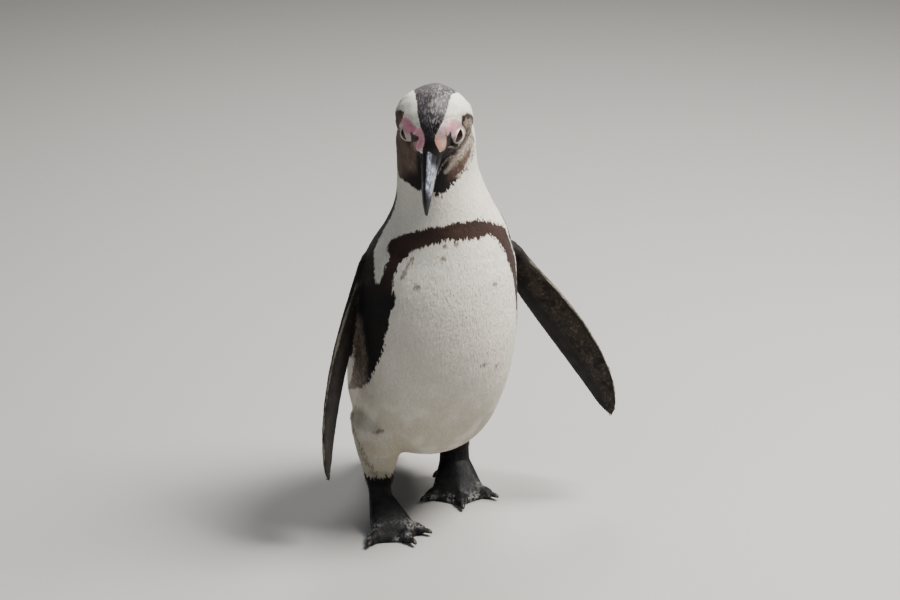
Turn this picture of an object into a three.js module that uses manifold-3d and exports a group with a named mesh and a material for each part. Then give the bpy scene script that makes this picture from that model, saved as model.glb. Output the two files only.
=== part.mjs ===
// African penguin (Spheniscus demersus): a still, life-size model of a walking bird with its head bowed.
// Millimetres, +Z up. The bird walks towards -Y and its left side is +X. The floor is Z = 0.
import * as THREE from "three";
import { mergeVertices } from "three/addons/utils/BufferGeometryUtils.js";
import Module from "manifold-3d";

const wasm = await Module();
wasm.setup();

// ---- driving dimensions -------------------------------------------------------------------------
const GAP = 0.3; // clearance between neighbouring pieces
const DEG = Math.PI / 180;
const SIDEWAYS = new THREE.Vector3(1, 0, 0);

const HEAD = {
  centre: [-15, -58, 424], // middle of the skull
  pitch: 50 * DEG, // bill below the horizontal
  yaw: -24 * DEG, // turned to the bird's right
};
const BILL = { root: 28, tip: 87 }; // ahead of the middle of the skull
const EYE = { radius: 8, ahead: 15, above: 6, aside: 20.5 };
const FOOT = { ankle: 43, ball: 14, instep: 31, web: 3.2, claw: 9 };

// ---- solids -------------------------------------------------------------------------------------

/** Turns a closed geometry into a manifold solid, with its faces pointing out. */
function solid(geometry) {
  const bare = geometry.clone();
  bare.deleteAttribute("normal");
  bare.deleteAttribute("uv");
  const merged = mergeVertices(bare, 1e-4);
  const vertProperties = new Float32Array(merged.attributes.position.array);
  const triVerts = new Uint32Array(merged.index.array);
  const made = new wasm.Manifold(new wasm.Mesh({ numProp: 3, vertProperties, triVerts }));
  if (made.volume() > 0) return made;
  for (let i = 0; i < triVerts.length; i += 3) {
    [triVerts[i], triVerts[i + 1]] = [triVerts[i + 1], triVerts[i]];
  }
  return new wasm.Manifold(new wasm.Mesh({ numProp: 3, vertProperties, triVerts }));
}

/** Turns a manifold solid back into a flat-shaded three.js geometry. */
function geometryOf(manifold) {
  const mesh = manifold.getMesh();
  const points = new Float32Array(mesh.numVert * 3);
  for (let i = 0; i < mesh.numVert; i++) {
    const start = i * mesh.numProp;
    points.set(mesh.vertProperties.subarray(start, start + 3), i * 3);
  }
  const geometry = new THREE.BufferGeometry();
  geometry.setAttribute("position", new THREE.BufferAttribute(points, 3));
  geometry.setIndex(new THREE.BufferAttribute(new Uint32Array(mesh.triVerts), 1));
  const flat = geometry.toNonIndexed();
  flat.computeVertexNormals();
  return flat;
}

/** How far along their axis each station is, in millimetres. */
function distancesAlong(stations) {
  const points = stations.map((s) => new THREE.Vector3(...s.at));
  const distances = [0];
  for (let i = 1; i < points.length; i++) {
    distances.push(distances[i - 1] + points[i].distanceTo(points[i - 1]));
  }
  return distances;
}

/** A smooth curve through stations' numbers, read at 0..1 of the length of their axis. */
function smoothRows(stations) {
  const distances = distancesAlong(stations);
  const steps = distances.map((d) => d / distances.at(-1));
  const rows = stations.map((s) => [...s.at, s.wide, s.front, s.back ?? s.front, s.square ?? 2]);
  const curve = new THREE.CubicInterpolant(steps, rows.flat(), rows[0].length);
  return (t) => Array.from(curve.evaluate(Math.min(1, Math.max(0, t))));
}

/** A sine or cosine, squared off for sections nearer to a box than to an ellipse. */
function squared(value, squareness) {
  return Math.sign(value) * Math.abs(value) ** (2 / squareness);
}

/** Spreads sections evenly, or closer together towards each end that is rounded off. */
function spread(v, ends) {
  const crowd = 0.8;
  if (ends[0] && ends[1]) return v - (crowd * Math.sin(2 * Math.PI * v)) / (2 * Math.PI);
  if (ends[0]) return (1 - crowd) * v + crowd * (1 - Math.cos((Math.PI * v) / 2));
  if (ends[1]) return (1 - crowd) * v + crowd * Math.sin((Math.PI * v) / 2);
  return v;
}

/**
 * A closed loft over stations { at, wide, front, back, square }, which give the half sizes of the
 * section: wide along `side`, front and back along the direction across both side and axis.
 * `ends` are the shares of the length over which each end is rounded off, and 0 leaves it flat.
 */
function loft(stations, options = {}) {
  const { around = 24, along = 12, side = SIDEWAYS, from = 0, to = 1, ends = [0, 0] } = options;
  const read = smoothRows(stations);
  const geometry = new THREE.CylinderGeometry(1, 1, 1, around, along, false);
  const position = geometry.attributes.position;
  const tangent = new THREE.Vector3();
  const across = new THREE.Vector3();
  const fore = new THREE.Vector3();
  const point = new THREE.Vector3();
  for (let i = 0; i < position.count; i++) {
    const share = spread(0.5 - position.getY(i), ends);
    const t = from + (to - from) * share;
    const [x, y, z, wide, front, back, square] = read(t);
    const before = read(t - 0.01);
    const after = read(t + 0.01);
    tangent.set(after[0] - before[0], after[1] - before[1], after[2] - before[2]).normalize();
    across.copy(side).addScaledVector(tangent, -side.dot(tangent)).normalize();
    fore.crossVectors(across, tangent);
    const toStart = ends[0] ? Math.min(1, share / ends[0] + 0.01) : 1;
    const toEnd = ends[1] ? Math.min(1, (1 - share) / ends[1] + 0.01) : 1;
    const shrink = Math.sqrt((1 - (1 - toStart) ** 2) * (1 - (1 - toEnd) ** 2));
    const lateral = position.getX(i);
    const sagittal = position.getZ(i);
    const depth = sagittal > 0 ? front : back;
    point.set(x, y, z);
    point.addScaledVector(across, squared(lateral, square) * wide * shrink);
    point.addScaledVector(fore, squared(sagittal, square) * depth * shrink);
    position.setXYZ(i, point.x, point.y, point.z);
  }
  return solid(geometry);
}

/** The room that a piece takes up with the gap all round it, for cutting its neighbours. */
function roomFor(made) {
  const skin = geometryOf(made);
  skin.deleteAttribute("normal");
  const merged = mergeVertices(skin, 1e-4);
  merged.computeVertexNormals();
  const { position, normal } = merged.attributes;
  for (let i = 0; i < position.count; i++) {
    position.setX(i, position.getX(i) + GAP * normal.getX(i));
    position.setY(i, position.getY(i) + GAP * normal.getY(i));
    position.setZ(i, position.getZ(i) + GAP * normal.getZ(i));
  }
  return solid(merged);
}

/** Joins several solids into one. */
function joined(...solids) {
  return solids.reduce((all, next) => all.add(next));
}

// ---- trunk, neck and tail -----------------------------------------------------------------------

// Sections from the root of the tail up to the nape. `front` is the belly's side of the axis.
const BODY = [
  { at: [-1, 99, 66], wide: 26, front: 17 },
  { at: [-1, 78, 84], wide: 47, front: 40, back: 34 },
  { at: [1, 49, 111], wide: 72, front: 70, back: 59 },
  { at: [-2, 23, 143], wide: 77.5, front: 83, back: 72 },
  { at: [-1.5, 1, 188], wide: 79, front: 86, back: 78, square: 2.1 },
  { at: [0, -12, 241], wide: 77, front: 82, back: 74, square: 2.1 },
  { at: [5, -21, 292], wide: 66, front: 70, back: 64 },
  { at: [1, -28, 334], wide: 45, front: 51, back: 50 },
  { at: [-5.5, -35, 370], wide: 37.5, front: 36, back: 40 },
  { at: [-8.5, -42, 398], wide: 37.5, front: 27, back: 34 },
  { at: [-12, -46, 420], wide: 37, front: 20, back: 27 },
  { at: [-13, -50, 432], wide: 35, front: 19, back: 22 },
];
const NECK_CUT = 0.685; // share of the body's axis where the neck begins
const NECK_START = NECK_CUT + GAP / distancesAlong(BODY).at(-1);

const trunk = loft(BODY, { around: 30, along: 19, to: NECK_CUT, ends: [0.1, 0] });
const neck = loft(BODY, { around: 28, along: 9, from: NECK_START, ends: [0, 0.2] });

// The stiff tail fans out flat behind the legs, and its tip nearly reaches the floor.
const TAIL = [
  { at: [-6, 86, 80], wide: 26, front: 17 },
  { at: [-6, 101, 66], wide: 27, front: 14 },
  { at: [-7, 112, 48], wide: 26, front: 8 },
  { at: [-8, 120, 30], wide: 21, front: 4 },
  { at: [-8, 125, 15], wide: 11, front: 1.6 },
];
const tail = loft(TAIL, { around: 14, along: 7, ends: [0, 0.25] });

// ---- head, bill and eyes, in the head's own frame -----------------------------------------------

// The origin is the middle of the skull, the bill points towards -Y and the crown is up.
// `front` is the depth below the axis and `back` the height above it.
const SKULL = [
  { at: [0, 35, 0], wide: 23, front: 26, back: 23 },
  { at: [0, 12, 0], wide: 34.5, front: 31, back: 30, square: 2.2 },
  { at: [0, -2, 0], wide: 35.5, front: 32, back: 31.5, square: 2.3 },
  { at: [0, -13, 0], wide: 30, front: 30, back: 30, square: 2.2 },
  { at: [0, -22, 0], wide: 22, front: 26.5, back: 25.5 },
  { at: [0, -30, 0], wide: 15, front: 21, back: 17.5 },
  { at: [0, -38, -2], wide: 9, front: 13.5, back: 9.5 },
];
const skull = loft(SKULL, { around: 26, along: 13, ends: [0.36, 0.06] });

const eyeOf = (sign) =>
  solid(
    new THREE.SphereGeometry(EYE.radius, 14, 10).translate(sign * EYE.aside, -EYE.ahead, EYE.above),
  );

// Both halves of the bill meet on the gape line. Heights are measured from the head's axis.
const UPPER_BILL = [
  { ahead: BILL.root, edge: -3.5, ridge: 16.5, wide: 11 },
  { ahead: 37, edge: -3.4, ridge: 13, wide: 9.4 },
  { ahead: 48, edge: -3, ridge: 10.6, wide: 7.4 },
  { ahead: 60, edge: -2.8, ridge: 8.8, wide: 6 },
  { ahead: 70, edge: -3.4, ridge: 6.6, wide: 4.8 },
  { ahead: 79, edge: -5.2, ridge: 2.2, wide: 3.4 },
  { ahead: 84.5, edge: -8.6, ridge: -3.4, wide: 2 },
  { ahead: BILL.tip, edge: -11.6, ridge: -9, wide: 0.9 },
];
const LOWER_BILL = [
  { ahead: BILL.root, edge: -3.5, keel: -14.5, wide: 10.2 },
  { ahead: 37, edge: -3.4, keel: -13, wide: 8.6 },
  { ahead: 48, edge: -3, keel: -11.8, wide: 6.6 },
  { ahead: 60, edge: -2.8, keel: -11.2, wide: 5.2 },
  { ahead: 70, edge: -3.4, keel: -10.4, wide: 4 },
  { ahead: 78, edge: -5, keel: -8.4, wide: 2.2 },
];
const FLAT = 0.01; // depth of a half section that is all but flat
const upperBill = loft(
  UPPER_BILL.map(({ ahead, edge, ridge, wide }) => ({
    at: [0, -ahead, edge + GAP / 2],
    wide,
    front: FLAT,
    back: ridge - edge,
    square: 1.8,
  })),
  { around: 14, along: 11 },
);
const lowerBill = loft(
  LOWER_BILL.map(({ ahead, edge, keel, wide }) => ({
    at: [0, -ahead, edge - GAP / 2],
    wide,
    front: edge - keel,
    back: FLAT,
  })),
  { around: 12, along: 8 },
);

const headGroup = new THREE.Group();
headGroup.position.set(...HEAD.centre);
headGroup.rotation.set(HEAD.pitch, 0, HEAD.yaw, "ZXY");
headGroup.updateMatrix();
/** A solid of the head's frame, moved to where the head is on the body. */
const ontoBody = (made) => made.transform(headGroup.matrix.elements);

// ---- flippers -----------------------------------------------------------------------------------

// Along the flipper from the shoulder: how far its edges stand from the axis, and its half thickness.
const BLADE = [
  { along: 0, leading: 15, trailing: 15, thick: 10 },
  { along: 0.16, leading: 15, trailing: 22, thick: 8 },
  { along: 0.35, leading: 23, trailing: 26, thick: 6.2 },
  { along: 0.52, leading: 28, trailing: 24, thick: 5.2 },
  { along: 0.68, leading: 28, trailing: 19.5, thick: 4.2 },
  { along: 0.82, leading: 24, trailing: 14.5, thick: 3.3 },
  { along: 0.93, leading: 14, trailing: 10, thick: 2.5 },
  { along: 1, leading: 5, trailing: 4, thick: 1.4 },
];
const WINGS = {
  right: { shoulder: [-58, -2, 286], span: [-60, -47, -212], trailing: [22, 39, -17], bow: 11 },
  left: { shoulder: [64, -4, 284], span: [116, -8, -196], trailing: [-21, 36, -29], bow: 9 },
};

/** A flipper: span runs from the shoulder to the tip, and bow curves it away from the body. */
function wingOf({ shoulder, span, trailing, bow }) {
  const root = new THREE.Vector3(...shoulder);
  const reach = new THREE.Vector3(...span);
  const back = new THREE.Vector3(...trailing);
  back.addScaledVector(reach, -back.dot(reach) / reach.lengthSq()).normalize();
  const outward = new THREE.Vector3().crossVectors(reach, back).normalize();
  if (outward.x * span[0] < 0) outward.negate();
  const stations = BLADE.map(({ along, leading, trailing: behind, thick }) => {
    const at = root.clone().addScaledVector(reach, along);
    at.addScaledVector(outward, 4 * bow * along * (1 - along));
    at.addScaledVector(back, (behind - leading) / 2);
    return { at: at.toArray(), wide: (leading + behind) / 2, front: thick };
  });
  return loft(stations, { around: 16, along: 15, side: back, ends: [0.1, 0.06] });
}

// ---- legs and feet ------------------------------------------------------------------------------

// The right leg is planted in front and takes the weight; the left one trails behind.
const LEGS = {
  right: {
    hip: [-48, 10, 132],
    knee: [-54, 8, 66],
    ankle: [-57, -5, FOOT.ankle],
    wide: 11.5,
    toeIn: 11 * DEG,
    splay: { inner: 39 * DEG, middle: 8 * DEG, outer: -46 * DEG },
  },
  left: {
    hip: [38, 36, 122],
    knee: [37, 48, 70],
    ankle: [37, 56, FOOT.ankle],
    wide: 15.5,
    toeIn: -9 * DEG,
    splay: { inner: 52 * DEG, middle: -1 * DEG, outer: -50 * DEG },
  },
};

/** The feathered part of a leg, cut level just above the ankle. */
function legOf({ hip, knee, ankle, wide }) {
  const [top, bend, end] = [hip, knee, ankle].map((p) => new THREE.Vector3(...p));
  const thigh = top.clone().lerp(bend, 0.5);
  const calf = bend.clone().lerp(end, 0.5);
  const beyond = bend.clone().lerp(end, 1.2);
  const cone = loft(
    [
      { at: top.toArray(), wide: 33, front: 37 },
      { at: thigh.toArray(), wide: 30, front: 34 },
      { at: bend.toArray(), wide: 21, front: 22 },
      { at: calf.toArray(), wide: 16, front: 15 },
      { at: end.toArray(), wide, front: 11 },
      { at: beyond.toArray(), wide, front: 11 },
    ],
    { around: 16, along: 9, ends: [0.35, 0] },
  );
  return cone.trimByPlane([0, 0, 1], FOOT.ankle);
}

// Toes fan out from the ball of the foot. A leg's splay is each toe's angle from straight ahead,
// and + is towards the midline.
const TOE_LENGTHS = { inner: 43, middle: 46, outer: 44 };

/** The three front toes of a leg, each { angle, length }. */
function toesOf(splay) {
  const named = Object.entries(TOE_LENGTHS);
  return Object.fromEntries(named.map(([name, length]) => [name, { angle: splay[name], length }]));
}

/** Where a toe is, in the foot's own frame, at a share of its length. */
function alongToe({ angle, length }, mirror, share) {
  return [
    -mirror * Math.sin(angle) * length * share,
    -FOOT.ball - Math.cos(angle) * length * share,
  ];
}

/** One toe, thickest at the ball and at its two joints. */
function toeOf(toe, mirror) {
  const knuckles = [
    { share: -0.12, radius: 7.8, lift: 1.5 },
    { share: 0.15, radius: 7, lift: 1 },
    { share: 0.42, radius: 6.6, lift: 0.6 },
    { share: 0.68, radius: 6.4, lift: 0.4 },
    { share: 0.88, radius: 5.9, lift: 0 },
    { share: 1, radius: 4.6, lift: 0 },
  ];
  const stations = knuckles.map(({ share, radius, lift }) => ({
    at: [...alongToe(toe, mirror, share), radius * 0.72 + lift],
    wide: radius,
    front: radius * 0.8,
    back: radius,
  }));
  return loft(stations, { around: 9, along: 6, ends: [0.1, 0.12] });
}

/** The web between the toes, with a hollow edge from toe to toe. */
function webOf({ inner, middle, outer }, mirror) {
  const dip = 0.8;
  const between = (a, b) => {
    const [ax, ay] = alongToe(a, mirror, dip);
    const [bx, by] = alongToe(b, mirror, dip);
    return [(ax + bx) / 2, (ay + by) / 2];
  };
  const shape = new THREE.Shape();
  shape.moveTo(0, -FOOT.ball + 8);
  shape.lineTo(...alongToe(inner, mirror, 0.9));
  shape.quadraticCurveTo(...between(inner, middle), ...alongToe(middle, mirror, 0.9));
  shape.quadraticCurveTo(...between(middle, outer), ...alongToe(outer, mirror, 0.9));
  shape.closePath();
  const sheet = new THREE.ExtrudeGeometry(shape, {
    depth: FOOT.web,
    bevelEnabled: false,
    curveSegments: 6,
  });
  return solid(sheet);
}

/** The instep, which slopes from the shank down to the toes and lifts the web between them. */
function instepOf(toes, mirror, wide) {
  const points = [];
  for (let turn = 0; turn < 10; turn++) {
    const [across, fore] = [Math.sin(turn * 36 * DEG), Math.cos(turn * 36 * DEG)];
    points.push([wide * 0.9 * across, -2 - 9 * fore, FOOT.instep]);
    points.push([wide * 1.05 * across, -6 - 11 * fore, 2]);
  }
  for (const toe of Object.values(toes)) {
    points.push([...alongToe(toe, mirror, 0.38), 17], [...alongToe(toe, mirror, 0.64), 12.5]);
    points.push([...alongToe(toe, mirror, 0.82), 5], [...alongToe(toe, mirror, 0.82), 1]);
  }
  return wasm.Manifold.hull(points);
}

/** The bare scaly shank from the ankle down and forward to the ball of the foot. */
function tarsusOf(wide) {
  const top = FOOT.ankle;
  const shank = loft(
    [
      { at: [0, 1, top * 1.1], wide, front: 10 },
      { at: [0, -2, top * 0.72], wide: wide * 0.96, front: 10.5 },
      { at: [0, -7, top * 0.42], wide: wide * 1.12, front: 13, back: 12 },
      { at: [0, -15, top * 0.2], wide: wide * 1.45, front: 15, back: 11 },
      { at: [0, -24, top * 0.1], wide: wide * 1.5, front: 8, back: 4 },
    ],
    { around: 14, along: 8, ends: [0, 0.12] },
  );
  return shank.trimByPlane([0, 0, -1], GAP - top);
}

/** The small hind toe on the inner side of the shank. */
const hindToeOf = (mirror, wide) =>
  loft(
    [
      { at: [-mirror * wide * 0.5, 0, 15], wide: 4, front: 4 },
      { at: [-mirror * (wide + 2), -2, 12], wide: 3, front: 3 },
      { at: [-mirror * (wide + 7), -5, 9], wide: 2.2, front: 2.2 },
    ],
    { around: 8, along: 5, side: new THREE.Vector3(0, 1, 0), ends: [0, 0.3] },
  );

/** A claw that curves down to the floor from the tip of a toe. */
function clawOf(tip, heading, height) {
  const [x, y] = tip;
  const [dx, dy] = heading;
  const stations = [
    { ahead: -5, rise: 0, radius: 2.6 },
    { ahead: 1, rise: 0.6, radius: 2.7 },
    { ahead: 6, rise: -0.4, radius: 2 },
    { ahead: FOOT.claw - 3, rise: -2.2, radius: 0.9 },
  ].map(({ ahead, rise, radius }) => ({
    at: [x + dx * ahead, y + dy * ahead, height + rise],
    wide: radius,
    front: radius,
  }));
  return loft(stations, { around: 8, along: 4, side: new THREE.Vector3(-dy, dx, 0), ends: [0, 0.15] });
}

// ---- assembly -----------------------------------------------------------------------------------

const plumage = (color) => new THREE.MeshStandardMaterial({ color, roughness: 0.85, metalness: 0 });
const MATERIALS = {
  white: plumage(0xe4e1d6),
  black: plumage(0x2b2320),
  foot: new THREE.MeshStandardMaterial({ color: 0x1d1b1c, roughness: 0.55, metalness: 0 }),
  bill: new THREE.MeshStandardMaterial({ color: 0x232326, roughness: 0.4, metalness: 0 }),
  eye: new THREE.MeshStandardMaterial({ color: 0x1c100a, roughness: 0.08, metalness: 0 }),
};

const part = new THREE.Group();
/** Adds a solid to the model as a named piece. */
function piece(name, made, material) {
  const mesh = new THREE.Mesh(geometryOf(made), material);
  mesh.name = name;
  part.add(mesh);
}

const trunkRoom = roomFor(trunk);
const skullRoom = roomFor(skull);
const bodyRoom = joined(trunkRoom, roomFor(neck));
const eyes = { left: eyeOf(1), right: eyeOf(-1) };
const sockets = joined(...Object.values(eyes).map(roomFor));

piece("trunk", trunk, MATERIALS.white);
piece("neck", neck.subtract(ontoBody(skullRoom)), MATERIALS.white);
piece("tail", tail.subtract(trunkRoom), MATERIALS.black);
piece("head", ontoBody(skull.subtract(sockets)), MATERIALS.black);
piece("bill_upper", ontoBody(upperBill.subtract(skullRoom)), MATERIALS.bill);
piece("bill_lower", ontoBody(lowerBill.subtract(skullRoom)), MATERIALS.bill);
for (const [side, eye] of Object.entries(eyes)) {
  piece(`eye_${side}`, ontoBody(eye), MATERIALS.eye);
}

for (const [side, wing] of Object.entries(WINGS)) {
  piece(`wing_${side}`, wingOf(wing).subtract(bodyRoom), MATERIALS.black);
}

for (const [side, leg] of Object.entries(LEGS)) {
  const mirror = side === "left" ? 1 : -1;
  const [x, y] = leg.ankle;
  const place = new THREE.Matrix4().makeRotationZ(leg.toeIn).setPosition(x, y, 0);
  const onFloor = (made) => made.transform(place.elements);
  const toes = toesOf(leg.splay);
  const shank = joined(tarsusOf(leg.wide), instepOf(toes, mirror, leg.wide));
  const spread = joined(webOf(toes, mirror), ...Object.values(toes).map((t) => toeOf(t, mirror)));
  const foot = joined(shank, hindToeOf(mirror, leg.wide), spread).trimByPlane([0, 0, 1], 0);
  piece(`leg_${side}`, legOf(leg).subtract(bodyRoom), MATERIALS.white);
  piece(`foot_${side}`, onFloor(foot), MATERIALS.foot);
  for (const [name, toe] of Object.entries(toes)) {
    const heading = [-mirror * Math.sin(toe.angle), -Math.cos(toe.angle)];
    const claw = clawOf(alongToe(toe, mirror, 1), heading, 4.2).subtract(foot);
    piece(`claw_${name}_${side}`, onFloor(claw), MATERIALS.bill);
  }
}

// The origin is under the middle of the bounding box, on the floor.
const bounds = new THREE.Box3().setFromObject(part);
const middle = bounds.getCenter(new THREE.Vector3());
part.position.set(-middle.x, -middle.y, -bounds.min.z);

export default part;
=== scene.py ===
"""A life-size african penguin, still, in mid-step, with its head bowed and turned.

Sizes are in millimetres in the bird's own frame: +Z up, the bird walks towards -Y and its
left side is +X. Points named p are in that frame, and points named q in the head's own axes.
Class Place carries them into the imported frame, in metres. Colours are linear. The flesh is
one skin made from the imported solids, and the plumage is small solid vanes that a Geometry
Nodes tree plants on it along the lie of the feathers.
"""

import logging
import math
from collections.abc import Callable, Iterator
from contextlib import contextmanager
from dataclasses import dataclass, field
from enum import Enum

import bmesh
import bpy
import numpy as np
from bpy.types import Material, Mesh, Node, NodeSocket, NodeTree, Object
from mathutils import Matrix, Vector
from mathutils.bvhtree import BVHTree

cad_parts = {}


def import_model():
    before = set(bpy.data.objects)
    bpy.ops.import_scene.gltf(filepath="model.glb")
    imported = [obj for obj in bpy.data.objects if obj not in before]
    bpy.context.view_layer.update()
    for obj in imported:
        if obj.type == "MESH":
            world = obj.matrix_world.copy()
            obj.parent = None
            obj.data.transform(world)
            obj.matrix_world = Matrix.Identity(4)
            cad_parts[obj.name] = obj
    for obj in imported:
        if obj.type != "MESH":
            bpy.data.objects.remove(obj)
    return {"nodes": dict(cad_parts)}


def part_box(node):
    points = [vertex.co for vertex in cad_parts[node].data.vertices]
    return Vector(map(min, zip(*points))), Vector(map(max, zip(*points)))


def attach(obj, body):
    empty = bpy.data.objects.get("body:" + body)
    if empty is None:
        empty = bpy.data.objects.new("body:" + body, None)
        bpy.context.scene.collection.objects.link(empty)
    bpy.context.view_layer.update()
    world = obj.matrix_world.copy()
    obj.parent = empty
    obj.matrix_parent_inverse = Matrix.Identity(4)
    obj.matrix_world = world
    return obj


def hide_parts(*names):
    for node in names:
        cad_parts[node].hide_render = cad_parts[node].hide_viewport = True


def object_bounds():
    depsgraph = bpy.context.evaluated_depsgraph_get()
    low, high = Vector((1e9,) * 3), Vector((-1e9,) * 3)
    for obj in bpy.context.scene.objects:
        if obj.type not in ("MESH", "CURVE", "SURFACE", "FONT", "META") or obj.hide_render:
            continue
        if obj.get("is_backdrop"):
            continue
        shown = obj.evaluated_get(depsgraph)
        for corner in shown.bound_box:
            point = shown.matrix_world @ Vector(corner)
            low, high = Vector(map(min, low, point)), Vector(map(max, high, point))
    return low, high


LOG = logging.getLogger("penguin")
BODY = "root"
SEED = 11
PER_METRE = 1000
TURN = 2 * math.pi
MERGE_DIGITS = 3
Array = np.ndarray
Colour = tuple[float, float, float]


class Side(Enum):
    """The bird's own sides, by the sign of X."""

    RIGHT = -1
    LEFT = 1

    @property
    def word(self) -> str:
        """The side's word in node names."""
        return self.name.lower()


class Slot(Enum):
    """The record's material slots."""

    WHITE = "white_plumage"
    BLACK = "black_plumage"
    FOOT = "foot_skin"
    HORN = "bill_horn"
    EYE = "eye"


# ---- small tools on arrays ----


def ramp(x: Array, low: float, high: float) -> Array:
    """Rises smoothly from 0 at low to 1 at high, or falls where high is the smaller.

    Args:
        x: Values to grade.
        low: Value that gives 0.
        high: Value that gives 1.

    Returns:
        The grades, 0 to 1.
    """
    t = np.clip((np.asarray(x, float) - low) / (high - low), 0, 1)
    return t * t * (3 - 2 * t)


def unit(v: Array) -> Array:
    """Scales vectors in the last axis to length 1."""
    return v / np.maximum(np.linalg.norm(v, axis=-1, keepdims=True), 1e-12)


def table(x: Array, *pairs: tuple[float, float]) -> Array:
    """Reads values at places x off a few (place, value) pairs, straight between them."""
    at, value = zip(*sorted(pairs))
    return np.interp(x, at, value)


# large odd numbers that turn a cell's place and the seed into a value without order
CELL = (73856093, 19349663, 83492791)
PATTERN, SCATTER = 2654435761, 1274126177


def noise(p: Array, size: float, seed: int = 0) -> Array:
    """Soft random values in space.

    Args:
        p: Points, one a row.
        size: Width of one blotch, in the points' unit.
        seed: Picks the pattern.

    Returns:
        Values from 0 to 1, one for each point.
    """
    q = np.asarray(p, float) / size + 1000.0
    low = np.floor(q).astype(np.int64)
    f = q - low
    f = f * f * (3 - 2 * f)
    total = np.zeros(len(q))
    for corner in np.ndindex(2, 2, 2):
        c = low + corner
        h = (c[:, 0] * CELL[0]) ^ (c[:, 1] * CELL[1]) ^ (c[:, 2] * CELL[2]) ^ (seed * PATTERN)
        h = (h ^ (h >> 13)) * SCATTER & 0x7FFFFFFF
        h = (h ^ (h >> 16)) & 0xFFFF
        weight = np.prod(np.where(np.array(corner) == 1, f, 1 - f), axis=1)
        total += weight * h / 65535
    return total


def mixed(a: Array, b: Array | Colour, share: Array) -> Array:
    """Goes from colours a to colours b by a share for each point."""
    return a + (np.asarray(b) - a) * np.asarray(share)[:, None]


def layered(colour: Array, *layers: tuple[Colour, Array]) -> Array:
    """Lays colours over one another, each by its share for each point."""
    for tone, share in layers:
        colour = mixed(colour, tone, share)
    return colour


def shaded(colour: Colour, factor: Array) -> Array:
    """Repeats a colour for each factor, and makes it lighter or darker by it."""
    return np.tile(colour, (len(factor), 1)) * factor[:, None]


def bell(x: Array, middle: float, width: float, power: int = 2) -> Array:
    """Rises to 1 at the middle, and falls off to both sides."""
    return np.exp(-(((x - middle) / width) ** power))


def degrees_off(v: Array, axis: Array) -> Array:
    """Reads how many degrees each vector is off an axis of length 1."""
    return np.degrees(np.arccos(np.clip(unit(v) @ axis, -1, 1)))


def segment_distance(p: Array, a: Array, b: Array) -> tuple[Array, Array]:
    """Distance from points to a straight segment.

    Args:
        p: Points, one a row.
        a: One end.
        b: The other end.

    Returns:
        The distances, and the share along the segment of each nearest point.
    """
    a, b = np.asarray(a, float), np.asarray(b, float)
    t = np.clip((p - a) @ (b - a) / ((b - a) @ (b - a)), 0, 1)
    return np.linalg.norm(p - a - t[:, None] * (b - a), axis=1), t


def relaxed(values: Array, edges: Array, rounds: int, share: Array | float = 0.5) -> Array:
    """Draws each vertex's value towards the mean of its neighbours'.

    Args:
        values: A row of numbers for each vertex.
        edges: Pairs of vertex numbers.
        rounds: How often.
        share: How far each time, one for all or one for each vertex.

    Returns:
        The relaxed values.
    """
    a, b = edges.T
    n = len(values)
    degree = np.maximum(np.bincount(edges.ravel(), minlength=n), 1)[:, None]
    share = np.broadcast_to(np.asarray(share, float), (n,))[:, None]
    for _ in range(rounds):
        total = np.stack(
            [
                np.bincount(a, values[b, k], n) + np.bincount(b, values[a, k], n)
                for k in range(values.shape[1])
            ],
            axis=1,
        )
        values = values + share * (total / degree - values)
    return values


def column(data: bpy.types.bpy_prop_collection, what: str, width: int, kind: type = float) -> Array:
    """Reads one property of every element of a mesh's collection.

    Args:
        data: The collection.
        what: The property's name.
        width: How many numbers it holds.
        kind: float or int.

    Returns:
        A row for each element.
    """
    out = np.empty(len(data) * width, np.float32 if kind is float else np.int32)
    data.foreach_get(what, out)
    return out.reshape(-1, width).astype(np.float64 if kind is float else np.int64)


def put(mesh: Mesh, name: str, values: Array, kind: str) -> None:
    """Stores one value for each vertex of a mesh under a name.

    Args:
        mesh: The mesh.
        name: The attribute's name.
        values: One row for each vertex.
        kind: FLOAT, FLOAT_VECTOR or FLOAT_COLOR, where a colour's fourth number is set to 1.
    """
    layer = mesh.attributes.get(name) or mesh.attributes.new(name, kind, "POINT")
    if kind == "FLOAT_COLOR":
        values = np.hstack([values, np.ones((len(values), 1))])
    key = {"FLOAT": "value", "FLOAT_VECTOR": "vector", "FLOAT_COLOR": "color"}[kind]
    layer.data.foreach_set(key, np.ascontiguousarray(values, np.float32).ravel())


def corner_vertices(mesh: Mesh) -> Array:
    """The vertex number of each face corner."""
    return column(mesh.loops, "vertex_index", 1, int)[:, 0]


def put_map(mesh: Mesh, name: str, values: Array) -> None:
    """Stores a UV map, one row of two numbers for each face corner."""
    layer = mesh.uv_layers.get(name) or mesh.uv_layers.new(name=name)
    layer.uv.foreach_set("vector", np.ascontiguousarray(values, np.float32).ravel())


@contextmanager
def edited(mesh: Mesh) -> Iterator[bmesh.types.BMesh]:
    """Opens a mesh for editing, and writes it back at the end.

    Args:
        mesh: The mesh.

    Yields:
        The mesh as it is being edited.
    """
    work = bmesh.new()
    work.from_mesh(mesh)
    yield work
    work.to_mesh(mesh)
    work.free()


def facing_out(mesh: Mesh) -> None:
    """Turns a closed mesh's faces outwards."""
    with edited(mesh) as work:
        bmesh.ops.recalc_face_normals(work, faces=work.faces)


def tube(rows: int, around: int, first: int = 0) -> list[tuple[int, ...]]:
    """Lays faces between rings of points that follow one another.

    Args:
        rows: How many rings.
        around: How many points each has.
        first: The first point's number.

    Returns:
        Four vertex numbers for each face.
    """
    faces = []
    for low in range(first, first + (rows - 1) * around, around):
        for i in range(around):
            j = (i + 1) % around
            faces.append((low + i, low + j, low + around + j, low + around + i))
    return faces


# ---- the frame the bird stands in ----


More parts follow.
